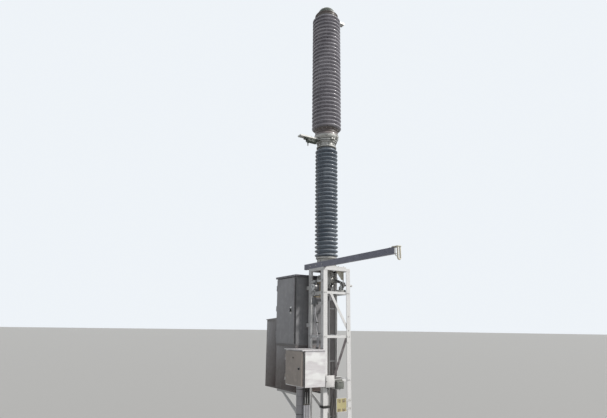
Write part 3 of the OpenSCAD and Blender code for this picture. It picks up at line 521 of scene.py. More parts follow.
class Piece:
    """A new piece modelled from bmesh shapes, kept at the origin; steel parts are galvanised."""

    def __init__(self, name, slot_name="galvanised_steel", body="root", look=None):
        self.name = name
        self.slot_name = slot_name
        self.look = look or slot_name
        self.body = body
        self.shape = bmesh.new()

    def place(self, verts, matrix):
        bmesh.ops.transform(self.shape, matrix=matrix, verts=verts)
        return verts

    def towards(self, at, axis):
        turn = Vector(UP).rotation_difference(Vector(axis).normalized()).to_matrix().to_4x4()
        return Matrix.Translation(at) @ turn

    def disc(self, at, axis, radius, length, segments=24, top=None):
        """Closed cylinder or cone from a point along an axis."""
        made = bmesh.ops.create_cone(self.shape, cap_ends=True, segments=segments, radius1=radius,
                                     radius2=radius if top is None else top, depth=length)["verts"]
        return self.place(made, self.towards(at, axis) @ Matrix.Translation((0, 0, length / 2)))

    def faces_towards(self, verts, axis):
        lift = Vector(axis).normalized()
        return [f for f in {f for v in verts for f in v.link_faces} if f.normal.dot(lift) > 0.9]

    def round_off(self, edges, bevel, segments):
        bmesh.ops.bevel(self.shape, geom=list(edges), offset=bevel, segments=segments, profile=0.5,
                        affect="EDGES", material=-1)

    def spin(self, outline, at, axis, steps):
        bmesh.ops.spin(self.shape, geom=outline, cent=at, axis=Vector(axis).normalized(),
                       angle=2 * pi, steps=steps, use_merge=True)

    def boss(self, at, axis, radius, length, bevel, segments=32):
        """Cylinder with a rounded outer rim."""
        made = self.disc(at, axis, radius, length, segments)
        self.round_off({e for f in self.faces_towards(made, axis) for e in f.edges}, bevel, 3)

    def hoop(self, at, axis, radius, thick, steps, sides=10):
        """Round bar bent into a closed ring about an axis."""
        made = bmesh.ops.create_circle(self.shape, segments=sides, radius=thick)["verts"]
        turn = Matrix.Translation((radius, 0, 0)) @ Matrix.Rotation(pi / 2, 4, "X")
        self.place(made, self.towards(at, axis) @ turn)
        self.spin(made + list({e for v in made for e in v.link_edges}), at, axis, steps)

    def turned(self, profile, at, axis=UP, steps=64):
        """Closed outline of (radius, height) points turned about an axis."""
        matrix = self.towards(at, axis)
        verts = [self.shape.verts.new(matrix @ Vector((r, 0, z))) for r, z in profile]
        loop = [self.shape.edges.new((verts[i - 1], verts[i])) for i in range(len(verts))]
        self.spin(verts + loop, at, axis, steps)

    def tube(self, points, radius, smooth=True, resolution=6):
        """Round bar or hose along a line of points, closed at its ends."""
        curve = bpy.data.curves.new(self.name, "CURVE")
        curve.dimensions = "3D"
        curve.bevel_depth = radius
        curve.bevel_resolution = 3
        curve.resolution_u = resolution
        curve.use_fill_caps = True
        line = curve.splines.new("BEZIER" if smooth else "POLY")
        knots = line.bezier_points if smooth else line.points
        knots.add(len(points) - 1)
        for knot, at in zip(knots, points):
            knot.co = at if smooth else (*at, 1)
            if smooth:
                knot.handle_left_type = knot.handle_right_type = "AUTO"
        holder = bpy.data.objects.new(self.name, curve)
        mesh = bpy.data.meshes.new_from_object(holder)
        self.shape.from_mesh(mesh)
        bpy.data.objects.remove(holder)
        bpy.data.meshes.remove(mesh)
        bpy.data.curves.remove(curve)

    def weld(self, start, end):
        """Hand laid bead between two points."""
        start, end = Vector(start), Vector(end)
        count = max(3, int((end - start).length / 0.007))
        points = []
        for i in range(count + 1):
            jitter = Vector([random.uniform(-0.0005, 0.0005) for _ in range(3)])
            points.append(start.lerp(end, i / count) + jitter)
        self.tube(points, 0.0028, smooth=False)

    def bolt(self, at, axis, size, nut=False, stud=0.0):
        """Washer and bevelled hexagon head, with a stud end where it is a nut."""
        self.disc(at, axis, size * 1.05, size * 0.22, 14)
        lift = Vector(axis).normalized()
        base = Vector(at) + lift * size * 0.2
        head = self.disc(base, axis, size * 0.9, size * 0.75, 6)
        bmesh.ops.inset_region(self.shape, faces=self.faces_towards(head, axis), thickness=size * 0.12,
                               depth=size * 0.06)
        if nut or stud:
            self.disc(base + lift * size * 0.7, axis, size * 0.5, stud or size * 0.5, 10)

    def gland(self, at, nut, tail):
        """Cable gland that hangs down: hexagon nut and round tail, each with radius and length."""
        self.disc(at, DOWN, *nut, 6)
        self.disc((at[0], at[1], at[2] - nut[1]), DOWN, *tail, 20)

    def screw(self, at, axis, size):
        """Low round screw head."""
        self.boss(at, axis, size, size * 0.55, size * 0.25, 14)

    def slab(self, low, high, bevel=0.0, segments=2):
        made = bmesh.ops.create_cube(self.shape, size=1)["verts"]
        low, high = Vector(low), Vector(high)
        size = high - low
        self.place(made, Matrix.Translation((low + high) / 2) @ Matrix.Diagonal((*size, 1)))
        if bevel:
            self.round_off({e for v in made for e in v.link_edges}, bevel, segments)

    def frame_strip(self, low, high, width, bevel=0.0):
        """Flat rectangular rim in the plane where low and high differ most."""
        thin = min(range(3), key=lambda i: high[i] - low[i])
        a, b = [i for i in range(3) if i != thin]
        for at_end in (False, True):
            for axis, inset in ((a, 0), (b, width)):
                first, last = list(low), list(high)
                first[a] += inset
                last[a] -= inset
                if at_end:
                    first[axis] = high[axis] - width
                else:
                    last[axis] = low[axis] + width
                self.slab(first, last, bevel)

    def finish(self, smooth=40, replaces=()):
        bmesh.ops.recalc_face_normals(self.shape, faces=self.shape.faces)
        mesh = bpy.data.meshes.new(self.name)
        self.shape.to_mesh(mesh)
        self.shape.free()
        mesh.shade_smooth()
        mesh.set_sharp_from_angle(angle=radians(smooth))
        mesh.materials.append(FINISHES[self.look])
        piece = add_to_scene(self.name, mesh)
        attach(piece, self.body)
        if replaces:
            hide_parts(*replaces)


def on_axis(z):
    """Place on the column's axis."""
    return (0, COLUMN_Y, z)


def arc(across, up, width, rise, angles):
    """Points on an ellipse round (across, up), by angles in degrees."""
    return [(across + width * cos(radians(a)), up + rise * sin(radians(a))) for a in angles]


def ring(count, radius, across=0.0, up=0.0, start=0.5):
    """Places of bolts in a ring."""
    return arc(across, up, radius, radius, [360 * (i + start) / count for i in range(count)])


def ring_of(count, radius, z, start=0.0):
    """Places in a ring round the column, at a level."""
    return [(x, y, z) for x, y in ring(count, radius, 0, COLUMN_Y, start)]


# Column

def shed_outline(height, sheds, core, rim):
    """Half section of a porcelain tube: sloped sheds with round rims and a drip rib below."""
    bore, land = core - 0.038, 0.018
    pitch = (height - 2 * land) / sheds
    outline = [(bore, 0.0), (core, 0.0)]
    for i in range(sheds):
        z = land + i * pitch
        outline += [(core, z), (core + 0.004, z + 0.1 * pitch), (core + 0.012, z + 0.125 * pitch),
                    (rim - 0.023, z + 0.13 * pitch), (rim - 0.0195, z + 0.11 * pitch),
                    (rim - 0.018, z + 0.05 * pitch), (rim - 0.015, z + 0.035 * pitch),
                    (rim - 0.01, z + 0.04 * pitch)]
        outline += arc(rim - 0.0065, z + 0.24 * pitch, 0.0065, 0.135 * pitch, (-60, -30, 0, 30, 55))
        for k in (0.12, 0.35, 0.6, 0.82):
            outline.append((rim - 0.004 + (core + 0.015 - rim) * k, z + (0.39 + 0.23 * k) * pitch))
        outline += [(core + 0.006, z + 0.66 * pitch), (core + 0.002, z + 0.74 * pitch),
                    (core, z + 0.86 * pitch)]
    return outline + [(core, height), (bore, height)]


def insulators():
    for name, slot_name, node, sheds, core, rim in (
            ("support_porcelain", "grey_porcelain", "support_insulator", 27, 0.15, 0.195),
            ("interrupter_porcelain", "brown_porcelain", "interrupter_insulator", 31, 0.21, 0.26)):
        foot, top = span(node)
        p = Piece(name, slot_name)
        p.turned(shed_outline(top - foot, sheds, core, rim), on_axis(foot), steps=80)
        p.finish(50, replaces=(node,))


def column_castings():
    """Cap and neck: turned rims with the bore closed by a plug."""
    bore, plug = 0.06, 0.0605
    height = CAP_TOP - CAP_FOOT
    c = Piece("domed_cap", "olive_paint")
    brim = [(bore, 0.0), (0.203, 0.0), (0.205, 0.002), (0.205, 0.016), (0.203, 0.018), (0.176, 0.018),
            (0.17, 0.02), (0.1665, 0.026)]
    dome = arc(0.085, 0.032, 0.08, 0.118, range(0, 91, 5))
    c.turned(brim + dome + [(bore, height)], on_axis(CAP_FOOT), steps=96)
    c.disc(on_axis(CAP_FOOT), UP, plug, height, 48)
    c.finish(35, replaces=("top_cap",))
    height = NECK_TOP - NECK_FOOT
    foot = on_axis(NECK_FOOT)
    bulge = arc(0.175, 0.097, 0.04, 0.063 / sin(radians(66)), range(-66, 67, 6))
    edge = 12
    paint_edge = bulge[edge][1]
    n = Piece("bulged_neck", "cast_aluminium")
    n.turned([(bore, 0.0), (0.15, 0.0), (0.15, 0.034)] + bulge[:edge + 1] + [(bore, paint_edge)],
             foot, steps=96)
    n.disc(foot, UP, plug, paint_edge, 48)
    n.finish(35, replaces=("neck_housing",))
    u = Piece("neck_painted_rim", "flange_paint", look="rim_paint")
    u.turned([(bore, paint_edge)] + bulge[edge:] + [(bore, height)], foot, steps=96)
    u.disc(on_axis(NECK_FOOT + paint_edge), UP, plug, height - paint_edge, 48)
    u.finish(35)


def column_bolts():
    p = Piece("column_bolts")
    base_foot, base_top = span("base_flange")
    head_foot, head_top = span("support_cap_flange")
    upper_top = span("interrupter_base_flange")[1]
    for at in ring_of(12, 0.1725, base_foot + 0.022):
        p.bolt(at, UP, 0.0105, nut=True)
    for count, radius, z, start, axis, size in (
            (12, 0.166, base_top - 0.022, 0, DOWN, 0.0075), (12, 0.1665, head_foot + 0.018, 0, UP, 0.0072),
            (12, 0.1665, head_top - 0.018, 0, DOWN, 0.0072),
            (16, 0.205, upper_top - 0.017, 0.5, DOWN, 0.0072)):
        for at in ring_of(count, radius, z, start):
            p.bolt(at, axis, size)
    for at in ring_of(10, 0.1885, CAP_FOOT + 0.018, 0.5):
        p.bolt(at, UP, 0.008, stud=0.006)
    p.finish()


def cement_joints():
    p = Piece("cement_joints", "concrete", look="cement")
    for node, core in (("support_insulator", 0.15), ("interrupter_insulator", 0.21)):
        inner, outer = core - 0.006, core + 0.01
        for z, rise in zip(span(node), (1, -1)):
            p.turned([(inner, 0), (outer, 0), (outer - 0.002, 0.009 * rise), (core + 0.003, 0.013 * rise),
                      (inner, 0.013 * rise)], on_axis(z), steps=72)
    p.finish()


def neck_fittings():
    p = Piece("neck_seam", "cast_aluminium")
    p.hoop(on_axis(5.1942), UP, 0.2148, 0.0022, steps=96)
    p.hoop(on_axis(NECK_FOOT + 0.038), UP, 0.1635, 0.004, steps=96)
    for x, y in arc(0, 0, 1, 1, (-118, -62, 35)):
        out = Vector((x, y, 0))
        at = Vector(on_axis(NECK_FOOT + 0.07)) + out * 0.185
        p.boss(at, out, 0.024, 0.038, 0.004)
        p.bolt(at + out * 0.038, out, 0.01)
    for y in (COLUMN_Y - 0.199, COLUMN_Y + 0.199):
        for x in (-0.03, 0.006):
            p.slab((x, y - 0.016, PALM_FOOT - 0.002), (x + 0.024, y + 0.016, PALM_TOP + 0.002), 0.003)
    p.finish()
    b = Piece("terminal_bolts")
    z = middle("lower_terminal")
    for y in (COLUMN_Y - 0.203, COLUMN_Y + 0.203):
        b.disc((-0.04, y, z), RIGHT, 0.006, 0.08, 14)
        b.bolt((-0.03, y, z), LEFT, 0.009)
        b.bolt((0.03, y, z), RIGHT, 0.009, nut=True)
    for x in (-0.43, -0.335, -0.24):
        for y in (-0.03, 0.03):
            b.bolt((x, COLUMN_Y + y, PALM_TOP), UP, 0.0095, stud=0.012)
    b.bolt((CLAMP_BOLT_X, COLUMN_Y, span("terminal_clamp")[0]), DOWN, 0.012)
    for x in (-0.062, 0.062):
        b.disc((x, COLUMN_Y, CAP_TOP - 0.002), UP, 0.02, 0.004, 24)
    b.finish()


def clamp_body():
    p = Piece("clamp_casting", "olive_paint")
    z = PALM_FOOT
    left, right = span("terminal_clamp", "x")
    p.slab((left, COLUMN_Y - 0.042, z - 0.026), (right, COLUMN_Y + 0.042, z), 0.006, 3)
    p.slab((-0.413, COLUMN_Y - 0.03, z - 0.062), (-0.228, COLUMN_Y + 0.03, z - 0.025), 0.005, 3)
    p.boss((-0.228, COLUMN_Y, z - 0.044), LEFT, 0.034, 0.185, 0.006)
    p.boss((CLAMP_BOLT_X, COLUMN_Y, z - 0.048), DOWN, 0.015, 0.044, 0.004)
    p.disc((CLAMP_BOLT_X, COLUMN_Y, z - 0.048), DOWN, 0.009, 0.08)
    for x in (CLAMP_BOLT_X, -0.32, -0.255):
        for y in (COLUMN_Y - 0.03, COLUMN_Y + 0.03):
            p.slab((x - 0.008, y - 0.009, z - 0.064), (x + 0.008, y + 0.009, z - 0.022), 0.003)
    p.finish(replaces=("terminal_clamp",))


# Lattice frame

def frame_bolts():
    p = Piece("frame_bolts")
    lowest, rear_tie = TIE_LEVELS[0], middle("rear_tie")
    for level in TIE_LEVELS + [rear_tie]:
        for x in (-0.235, -0.205, 0.205, 0.235):
            if level == lowest and x < 0:
                continue
            if level != rear_tie:
                p.bolt((x, -POST_Y, level), FRONT, 0.0078)
                p.bolt((x, -0.202, level), BACK, 0.0075, nut=True)
            p.bolt((x, POST_Y, level), BACK, 0.0078, nut=True)
    for level in TIE_LEVELS:
        for y in (-0.19, -0.165, 0.165, 0.19):
            p.bolt((POST_X, y, level), RIGHT, 0.0078)
            p.bolt((0.245, y, level), LEFT, 0.0075, nut=True)
            if level != lowest:
                p.bolt((-POST_X, y, level), LEFT, 0.0078)
    for x, z in ((0.222, 1.885), (0.208, 1.702), (0.222, 2.1)):
        p.bolt((x, -POST_Y, z), FRONT, 0.0078)
    for y in (-0.185, 0.185):
        for z in (2.293, 2.641):
            p.bolt((-0.264, y, z), LEFT, 0.007)
    for x in (-0.16, -0.055, 0.055, 0.16):
        for y in (-0.18, 0.193):
            p.bolt((x, y, PLATE_TOP), UP, 0.0095, nut=True)
    p.finish()


CORNERS = [(side, end) for side in (-1, 1) for end in (-1, 1)]


def anchor_bolts():
    p = Piece("anchor_bolts")
    for sx, sy in CORNERS:
        for x, y in ((0.15, 0.107), (0.15, 0.217), (0.262, 0.107)):
            p.bolt((sx * x, sy * y, FOOT_PLATE_TOP), UP, 0.013, stud=0.022)
    p.finish()


def frame_welds():
    p = Piece("frame_welds")
    inner_x, inner_y, leg_x, leg_y = 0.184, 0.141, 0.25, 0.207
    levels = (FOOT_PLATE_TOP + 0.0015, span("top_frame")[0] - 0.001)
    for sx, sy in CORNERS:
        for z in levels:
            p.weld((sx * inner_x, sy * POST_Y, z), (sx * POST_X, sy * POST_Y, z))
            p.weld((sx * POST_X, sy * POST_Y, z), (sx * POST_X, sy * inner_y, z))
            p.weld((sx * inner_x, sy * leg_y, z), (sx * leg_x, sy * leg_y, z))
    for start, end, z in ((-0.105, -0.06, 2.4385), (-0.088, -0.045, 1.1735)):
        p.weld((start, -0.2068, z), (end, -0.2068, z))
    for y in (-1.845, -1.76):
        p.weld((-0.267, y, ARM_TOP + 0.0005), (-0.199, y, ARM_TOP + 0.0005))
    p.finish()


# Drive

def crank_details():
    p = Piece("crank_case_trim", "cast_aluminium")
    side, bottom = span("drive_housing", "x")[0], span("drive_housing")[0]
    p.boss((side, COLUMN_Y, CRANK_Z), LEFT, 0.05, 0.01, 0.004)
    p.boss(on_axis(bottom), DOWN, 0.034, 0.012, 0.004)
    p.boss((0.0, COLUMN_Y - 0.07, 2.76), FRONT, 0.026, 0.014, 0.004)
    for z, radius, thick in ((2.606, 0.0765, 0.0035), (2.835, 0.0785, 0.003),
                             (2.64, 0.0765, 0.002), (2.735, 0.0765, 0.002)):
        p.hoop(on_axis(z), UP, radius, thick, steps=64)
    p.finish()
    b = Piece("crank_case_bolts")
    for y, z in ring(6, 0.056, COLUMN_Y, CRANK_Z):
        b.bolt((side, y, z), LEFT, 0.0055)
    for at in ring_of(8, 0.05, bottom, 0.5):
        b.bolt(at, DOWN, 0.0055)
    b.disc((side - 0.01, COLUMN_Y, CRANK_Z), LEFT, 0.018, 0.014)
    b.bolt((0.164, COLUMN_Y, CRANK_Z), RIGHT, 0.022, stud=0.01)
    b.bolt((0.182, 0.177, ROD_Z), RIGHT, 0.011, stud=0.005)
    b.bolt((0.164, -0.11, 2.639), RIGHT, 0.011, stud=0.005)
    for x in (0.05, 0.1, 0.15):
        b.bolt((x, -0.142, 2.84), FRONT, 0.0075)
    b.finish()


def drive_details():
    p = Piece("dashpot_trim", "bright_steel")
    x, y = middle("dashpot", "x"), middle("dashpot", "y")
    p.boss((x, y, 2.568), UP, 0.024, 0.016, 0.003)
    for z in (2.524, 2.534, 2.544, 2.554):
        p.turned([(0.034, 0), (0.0405, 0), (0.0405, 0.0035), (0.034, 0.0035)], (x, y, z), steps=48)
    for at in ring(4, 0.06, x, y):
        p.bolt((*at, 2.514), UP, 0.0075)
    p.slab((x - 0.0165, y - 0.013, 2.604), (x + 0.0165, y + 0.013, 2.613), 0.002)
    for low in (x - 0.0165, x + 0.0125):
        p.slab((low, y - 0.013, 2.612), (low + 0.004, y + 0.013, 2.655), 0.002)
    p.disc((x, y, 2.59), UP, 0.015, 0.009, 6)
    p.finish()
    r = Piece("drive_rod_nuts")
    for y, radius, length, sides in ((0.2, 0.0165, 0.012, 6), (0.212, 0.0125, 0.04, 24),
                                     (0.252, 0.0165, 0.012, 6)):
        r.disc((ROD_X, y, ROD_Z), BACK, radius, length, sides)
    r.boss((ROD_X, 0.2795, ROD_Z), FRONT, 0.03, 0.01, 0.003)
    r.finish()


# Gas fittings

def valve_body():
    p = Piece("valve_casting", "white_paint")
    y, z = -0.118, 2.594
    p.slab((0.172, -0.142, 2.574), (0.218, -0.1, 2.64), 0.005, 3)
    p.slab((0.172, -0.142, 2.638), (0.185, -0.13, 2.676), 0.001)
    p.disc((0.217, y, z), RIGHT, 0.0195, 0.012, 6)
    p.disc((0.229, y, z), RIGHT, 0.013, 0.112, 32)
    p.disc((0.322, y, z), RIGHT, 0.0175, 0.014, 6)
    p.boss((0.339, y, z), RIGHT, 0.018, 0.027, 0.003)
    for x in (0.343, 0.348, 0.353, 0.358):
        p.hoop((x, y, z), RIGHT, 0.0178, 0.0008, steps=32, sides=6)
    p.boss((0.195, y, 2.574), DOWN, 0.014, 0.018, 0.003)
    p.boss((0.195, -0.142, 2.612), FRONT, 0.012, 0.008, 0.002)
    p.finish(replaces=("filling_valve",))
    c = Piece("valve_cap_chain", "bright_steel")
    sag = [0.035 * sin(pi * i / 9) for i in range(10)]
    c.tube([(0.236 + 0.0115 * i, y - 0.014, z - 0.012 - sag[i]) for i in range(10)], 0.0014)
    c.finish()


def gauge_details():
    face, y, z = span("density_gauge", "x")[0], middle("density_gauge", "y"), 2.545
    rim = Piece("gauge_bezel", "bright_steel")
    rim.turned([(0.043, 0.0), (0.0515, 0.0), (0.0515, 0.005), (0.049, 0.008), (0.044, 0.008)],
               (face, y, z), LEFT)
    rim.disc((-0.301, y, 2.494), DOWN, 0.0145, 0.014, 6)
    rim.disc((-0.301, y, 2.425), DOWN, 0.0135, 0.012, 6)
    rim.finish()
    dial = Piece("gauge_dial", "white_paint")
    dial.disc((face + 0.001, y, z), LEFT, 0.0445, 0.0025, 48)
    dial.finish()
    marks = Piece("gauge_marks", "black_plastic")
    for d in (0.033, 0.035, 0.037):
        for at in arc(y, z, d, d, range(225, -46, -27)):
            marks.disc((face - 0.0012, *at), LEFT, 0.0011, 0.0006, 8)
    tip = Vector((0, cos(0.9), sin(0.9)))
    for k in range(14):
        at = Vector((face - 0.0018, y, z)) + tip * (-0.008 + 0.0026 * k)
        marks.disc(at, LEFT, 0.0019 - 0.00009 * k, 0.0006, 10)
    marks.disc((face - 0.0018, y, z), LEFT, 0.004, 0.0015, 16)
    marks.finish()
    glass = Piece("gauge_glass", "bright_steel", look="clear_glass")
    glass.disc((face - 0.0045, y, z), LEFT, 0.0438, 0.0022, 48)
    glass.finish()


def switch_details():
    p = Piece("pressure_switch_case", "dark_steel")
    p.slab((-0.334, -0.07, 2.272), (-0.27, -0.008, 2.38), 0.004, 3)
    p.slab((-0.338, -0.068, 2.275), (-0.333, -0.01, 2.377), 0.002)
    p.slab((-0.271, -0.062, 2.272), (-0.264, -0.016, 2.312), 0.001)
    for y in (-0.054, -0.024):
        p.gland((-0.304, y, 2.272), (0.0135, 0.01), (0.0105, 0.018))
    p.boss((-0.302, -0.039, 2.38), UP, 0.011, 0.01, 0.003)
    p.finish(replaces=("pressure_switch",))
    s = Piece("pressure_switch_screws", "bright_steel")
    for y in (-0.062, -0.016):
        for z in (2.281, 2.371):
            s.screw((-0.338, y, z), LEFT, 0.0036)
    s.finish()


def instrument_hoses():
    p = Piece("instrument_hoses", "conduit_plastic", look="pale_hose")
    p.tube([(-0.304, -0.054, 2.25), (-0.304, -0.056, 2.15), (-0.29, -0.09, 1.98), (-0.283, -0.13, 1.8),
            (-0.3, -0.14, 1.68), (-0.312, -0.14, 1.6)], 0.0085)
    p.tube([(-0.304, -0.024, 2.25), (-0.305, -0.022, 2.13), (-0.287, -0.04, 1.95), (-0.281, -0.085, 1.78),
            (-0.296, -0.1, 1.67), (-0.308, -0.1, 1.6)], 0.0085)
    p.finish()
    c = Piece("hose_clips", "black_plastic")
    for x, y, z in ((-0.283, -0.122, 1.83), (-0.292, -0.085, 2.0)):
        c.slab((x - 0.012, y - 0.014, z - 0.007), (x + 0.026, y + 0.014, z + 0.007), 0.003)
    for x, y in ((-0.312, -0.14), (-0.308, -0.1)):
        c.boss((x, y, 1.606), UP, 0.0145, 0.026, 0.003, 20)
    c.finish()


# Cabinet

def cabinet_details():
    g = Piece("cabinet_gasket", "black_plastic")
    door_foot, door_top = span("cabinet_door")
    g.frame_strip((-0.4575, 0.308, door_foot + 0.008), (-0.4545, 0.868, door_top - 0.008), 0.01, 0.001)
    g.finish()
    s = Piece("cabinet_screws", "bright_steel")
    level = span("cabinet_roof")[0] + 0.017
    for i in range(6):
        for y, outward in zip(span("cabinet_roof", "y"), (FRONT, BACK)):
            s.screw((-0.42 + 0.142 * i, y, level), outward, 0.0055)
    for i in range(5):
        for x, outward in zip(span("cabinet_roof", "x"), (LEFT, RIGHT)):
            s.screw((x, 0.3 + 0.14 * i, level), outward, 0.0055)
    for z in CABINET_HINGE_LEVELS:
        s.disc((*CABINET_HINGE, z), DOWN, 0.0065, 0.006, 20)
    for z in (1.0, 1.22, 1.44):
        for x in (-0.44, -0.24, -0.04, 0.16, 0.31):
            s.screw((x, 0.28, z), FRONT, 0.0045)
    sides = [(y, z) for y in (0.94, 1.09, 1.24) for z in (0.98, 1.3, 1.6, 1.98)]
    sides += [(y, z) for y in (0.3, 0.46, 0.62, 0.78) for z in (0.98, 1.3, 1.6)]
    for at in sides:
        s.screw((-0.455, *at), LEFT, 0.0045)
        s.screw((0.325, *at), RIGHT, 0.0045)
    s.finish()
    # The front's folds take the shell's darkened grey: painted shade.
    f = Piece("cabinet_folds", "grey_paint")
    for x in (-0.4555, 0.3175):
        f.slab((x, 0.2765, 1.652), (x + 0.008, 0.2805, 2.728), 0.001)
    for x in (-0.2, 0.06):
        f.slab((x, 0.278, 1.66), (x + 0.01, 0.2805, 2.72), 0.001)
    for z in (1.659, 2.709):
        f.slab((-0.445, 0.278, z), (0.315, 0.2805, z + 0.012), 0.001)
    f.finish()
    w = Piece("lower_housing_covers", "brown_grey_paint")
    thick = 0.0035
    for x in (-0.458, 0.3245):
        w.slab((x, 0.3, 0.975), (x + thick, 0.89, 1.625), 0.002)
        w.slab((x, 0.925, 0.975), (x + thick, 1.25, 2.015), 0.002)
    for y, top in ((0.277, 1.625), (1.2695, 2.015)):
        w.slab((-0.44, y, 0.975), (0.31, y + thick, top), 0.002)
    w.finish()
    k = Piece("cabinet_lock_plate", "bright_steel", body="cabinet_door")
    k.slab((-0.4848, 0.372, 2.138), (-0.4828, 0.418, 2.252), 0.0008)
    for z in (2.146, 2.244):
        k.screw((-0.4848, 0.395, z), LEFT, 0.0035)
    for z in CABINET_HINGE_LEVELS:
        k.disc((*CABINET_HINGE, z + HINGE_LENGTH), UP, 0.0065, 0.005, 20)
    k.finish()
    r = Piece("cabinet_door_folds", "door_paint", body="cabinet_door")
    r.frame_strip((-0.4615, 0.303, door_foot + 0.003), (-0.46, 0.873, door_top - 0.003), 0.012, 0.0005)
    for z in (1.93, 2.4):
        r.slab((-0.4815, 0.33, z), (-0.47, 0.85, z + 0.04), 0.002)
    r.finish()


def mechanism_details():
    """Guessed inside of the cabinet: mount, accumulators, pump, pipes and relays."""
    m = Piece("mechanism_mount", "dark_steel")
    m.slab((0.085, 0.3, 2.49), (0.262, 0.316, 2.5), 0.002)
    for x in (0.09, 0.25):
        m.slab((x, 0.3, 1.653), (x + 0.012, 0.36, 2.5), 0.002)
    m.slab((0.05, 0.33, 1.653), (0.3, 0.86, 1.665), 0.002)
    for x in (0.1, 0.24):
        m.boss((x, 0.45, 1.665), UP, 0.065, 0.42, 0.012)
    m.slab((0.08, 0.6, 1.665), (0.29, 0.84, 1.9), 0.008)
    m.finish()
    t = Piece("mechanism_pipes", "bright_steel")
    t.tube([(0.1, 0.45, 2.08), (0.1, 0.45, 2.2), (0.13, 0.45, 2.3), (0.17, 0.42, 2.42),
            (ROD_X, 0.4, 2.54)], 0.009)
    t.tube([(0.24, 0.45, 2.08), (0.24, 0.45, 2.22), (0.235, 0.52, 2.34), (0.2, 0.6, 2.44),
            (ROD_X, 0.62, 2.54)], 0.009)
    t.tube([(0.12, 0.72, 1.9), (0.12, 0.72, 2.05), (0.12, 0.66, 2.15), (ROD_X, 0.66, 2.4),
            (ROD_X, 0.665, 2.52)], 0.007)
    for x in (0.1, 0.24):
        t.disc((x, 0.45, 2.083), UP, 0.02, 0.02, 6)
    t.finish()
    r = Piece("relay_rows", "beige_plastic")
    heights = (0.075, 0.075, 0.06, 0.075, 0.045, 0.06, 0.075, 0.045, 0.06)
    for z in (1.86, 2.1, 2.34):
        for i, tall in enumerate(heights):
            y = 0.4 + 0.047 * i
            r.slab((-0.02, y, z), (0.04, y + 0.042, z + tall), 0.003)
    r.finish()
    b = Piece("relay_plate")
    b.slab((0.04, 0.36, 1.8), (0.046, 0.86, 2.46), 0.001)
    for z in (1.89, 2.13, 2.37):
        b.slab((0.03, 0.375, z), (0.0405, 0.845, z + 0.035), 0.001)
    for y in (0.375, 0.845):
        b.slab((0.04, y - 0.012, 1.653), (0.052, y + 0.012, 1.805), 0.001)
    b.finish()
    d = Piece("wiring_ducts", "conduit_plastic")
    for z in (1.815, 2.035, 2.275, 2.435):
        d.slab((0.004, 0.375, z), (0.041, 0.845, z + 0.028), 0.002)
    d.finish()


# Junction box and what hangs below it

def junction_box_details():
    bottom = span("junction_box_shell")[0]
    door_foot, door_top = span("junction_box_door")
    g = Piece("junction_box_gasket", "black_plastic")
    g.frame_strip((-0.6405, -0.255, door_foot + 0.004), (-0.6375, 0.211, door_top - 0.004), 0.008, 0.0008)
    for at in CONDUIT_PLACES:
        g.disc((*at, bottom), DOWN, 0.021, 0.014, 6)
        g.disc((*at, bottom - 0.014), DOWN, 0.0175, 0.012, 24, 0.0145)
    g.finish()
    # Black strip at the front's left edge: partly a rubber seal, partly painted shadow of the corner gap.
    e = Piece("junction_box_seal_and_shadow_strip", "black_plastic")
    e.slab((-0.6385, -0.2768, 1.085), (-0.615, -0.2745, 1.588), 0.0008)
    e.finish()
    s = Piece("junction_box_screws", "bright_steel")
    roof_left, roof_front = span("junction_box_roof", "x")[0], span("junction_box_roof", "y")[0]
    for i in range(4):
        s.screw((-0.6 + 0.1 * i, roof_front, 1.597), FRONT, 0.004)
        s.screw((roof_left, -0.23 + 0.14 * i, 1.604), LEFT, 0.004)
    for z in BOX_HINGE_LEVELS:
        s.disc((*BOX_HINGE, z), DOWN, 0.005, 0.005, 16)
    s.finish()
    k = Piece("junction_box_door_pins", "bright_steel", body="junction_box_door")
    for z in BOX_HINGE_LEVELS:
        k.disc((*BOX_HINGE, z + HINGE_LENGTH), UP, 0.005, 0.005, 16)
    k.turned([(0.017, 0), (0.022, 0), (0.022, 0.003), (0.017, 0.004)], (-0.662, -0.183, 1.338), LEFT, 40)
    k.finish()
    w = Piece("junction_box_wires", "black_plastic", look="wire_insulation")
    for row, z in enumerate((1.18, 1.33, 1.48)):
        for i in range(14):
            y = -0.181 + 0.024 * i
            drop = 0.03 + 0.004 * ((i + row) % 3)
            w.tube([(-0.3, y, z - 0.004), (-0.305, y, z - 0.02), (-0.318, y + 0.004, z - drop),
                    (-0.32, y * 0.9, z - drop - 0.012)], 0.0022, resolution=4)
    for x, y in CONDUIT_PLACES:
        w.tube([(x, y, bottom), (x + 0.005, y, 1.11), (-0.42, -0.14, 1.125), (-0.325, -0.1, 1.135)], 0.008)
    looms = (1.142, 1.288, 1.438)
    for z, radius in zip(looms, (0.01, 0.008, 0.008)):
        w.tube([(-0.322, -0.17, z), (-0.322, 0.0, z - 0.004), (-0.322, 0.14, z)], radius)
    w.tube([(-0.322, -0.17, looms[0]), (-0.325, -0.19, 1.21), (-0.322, -0.17, looms[1]),
            (-0.325, -0.19, 1.36), (-0.322, -0.17, looms[2])], 0.008)
    w.finish()


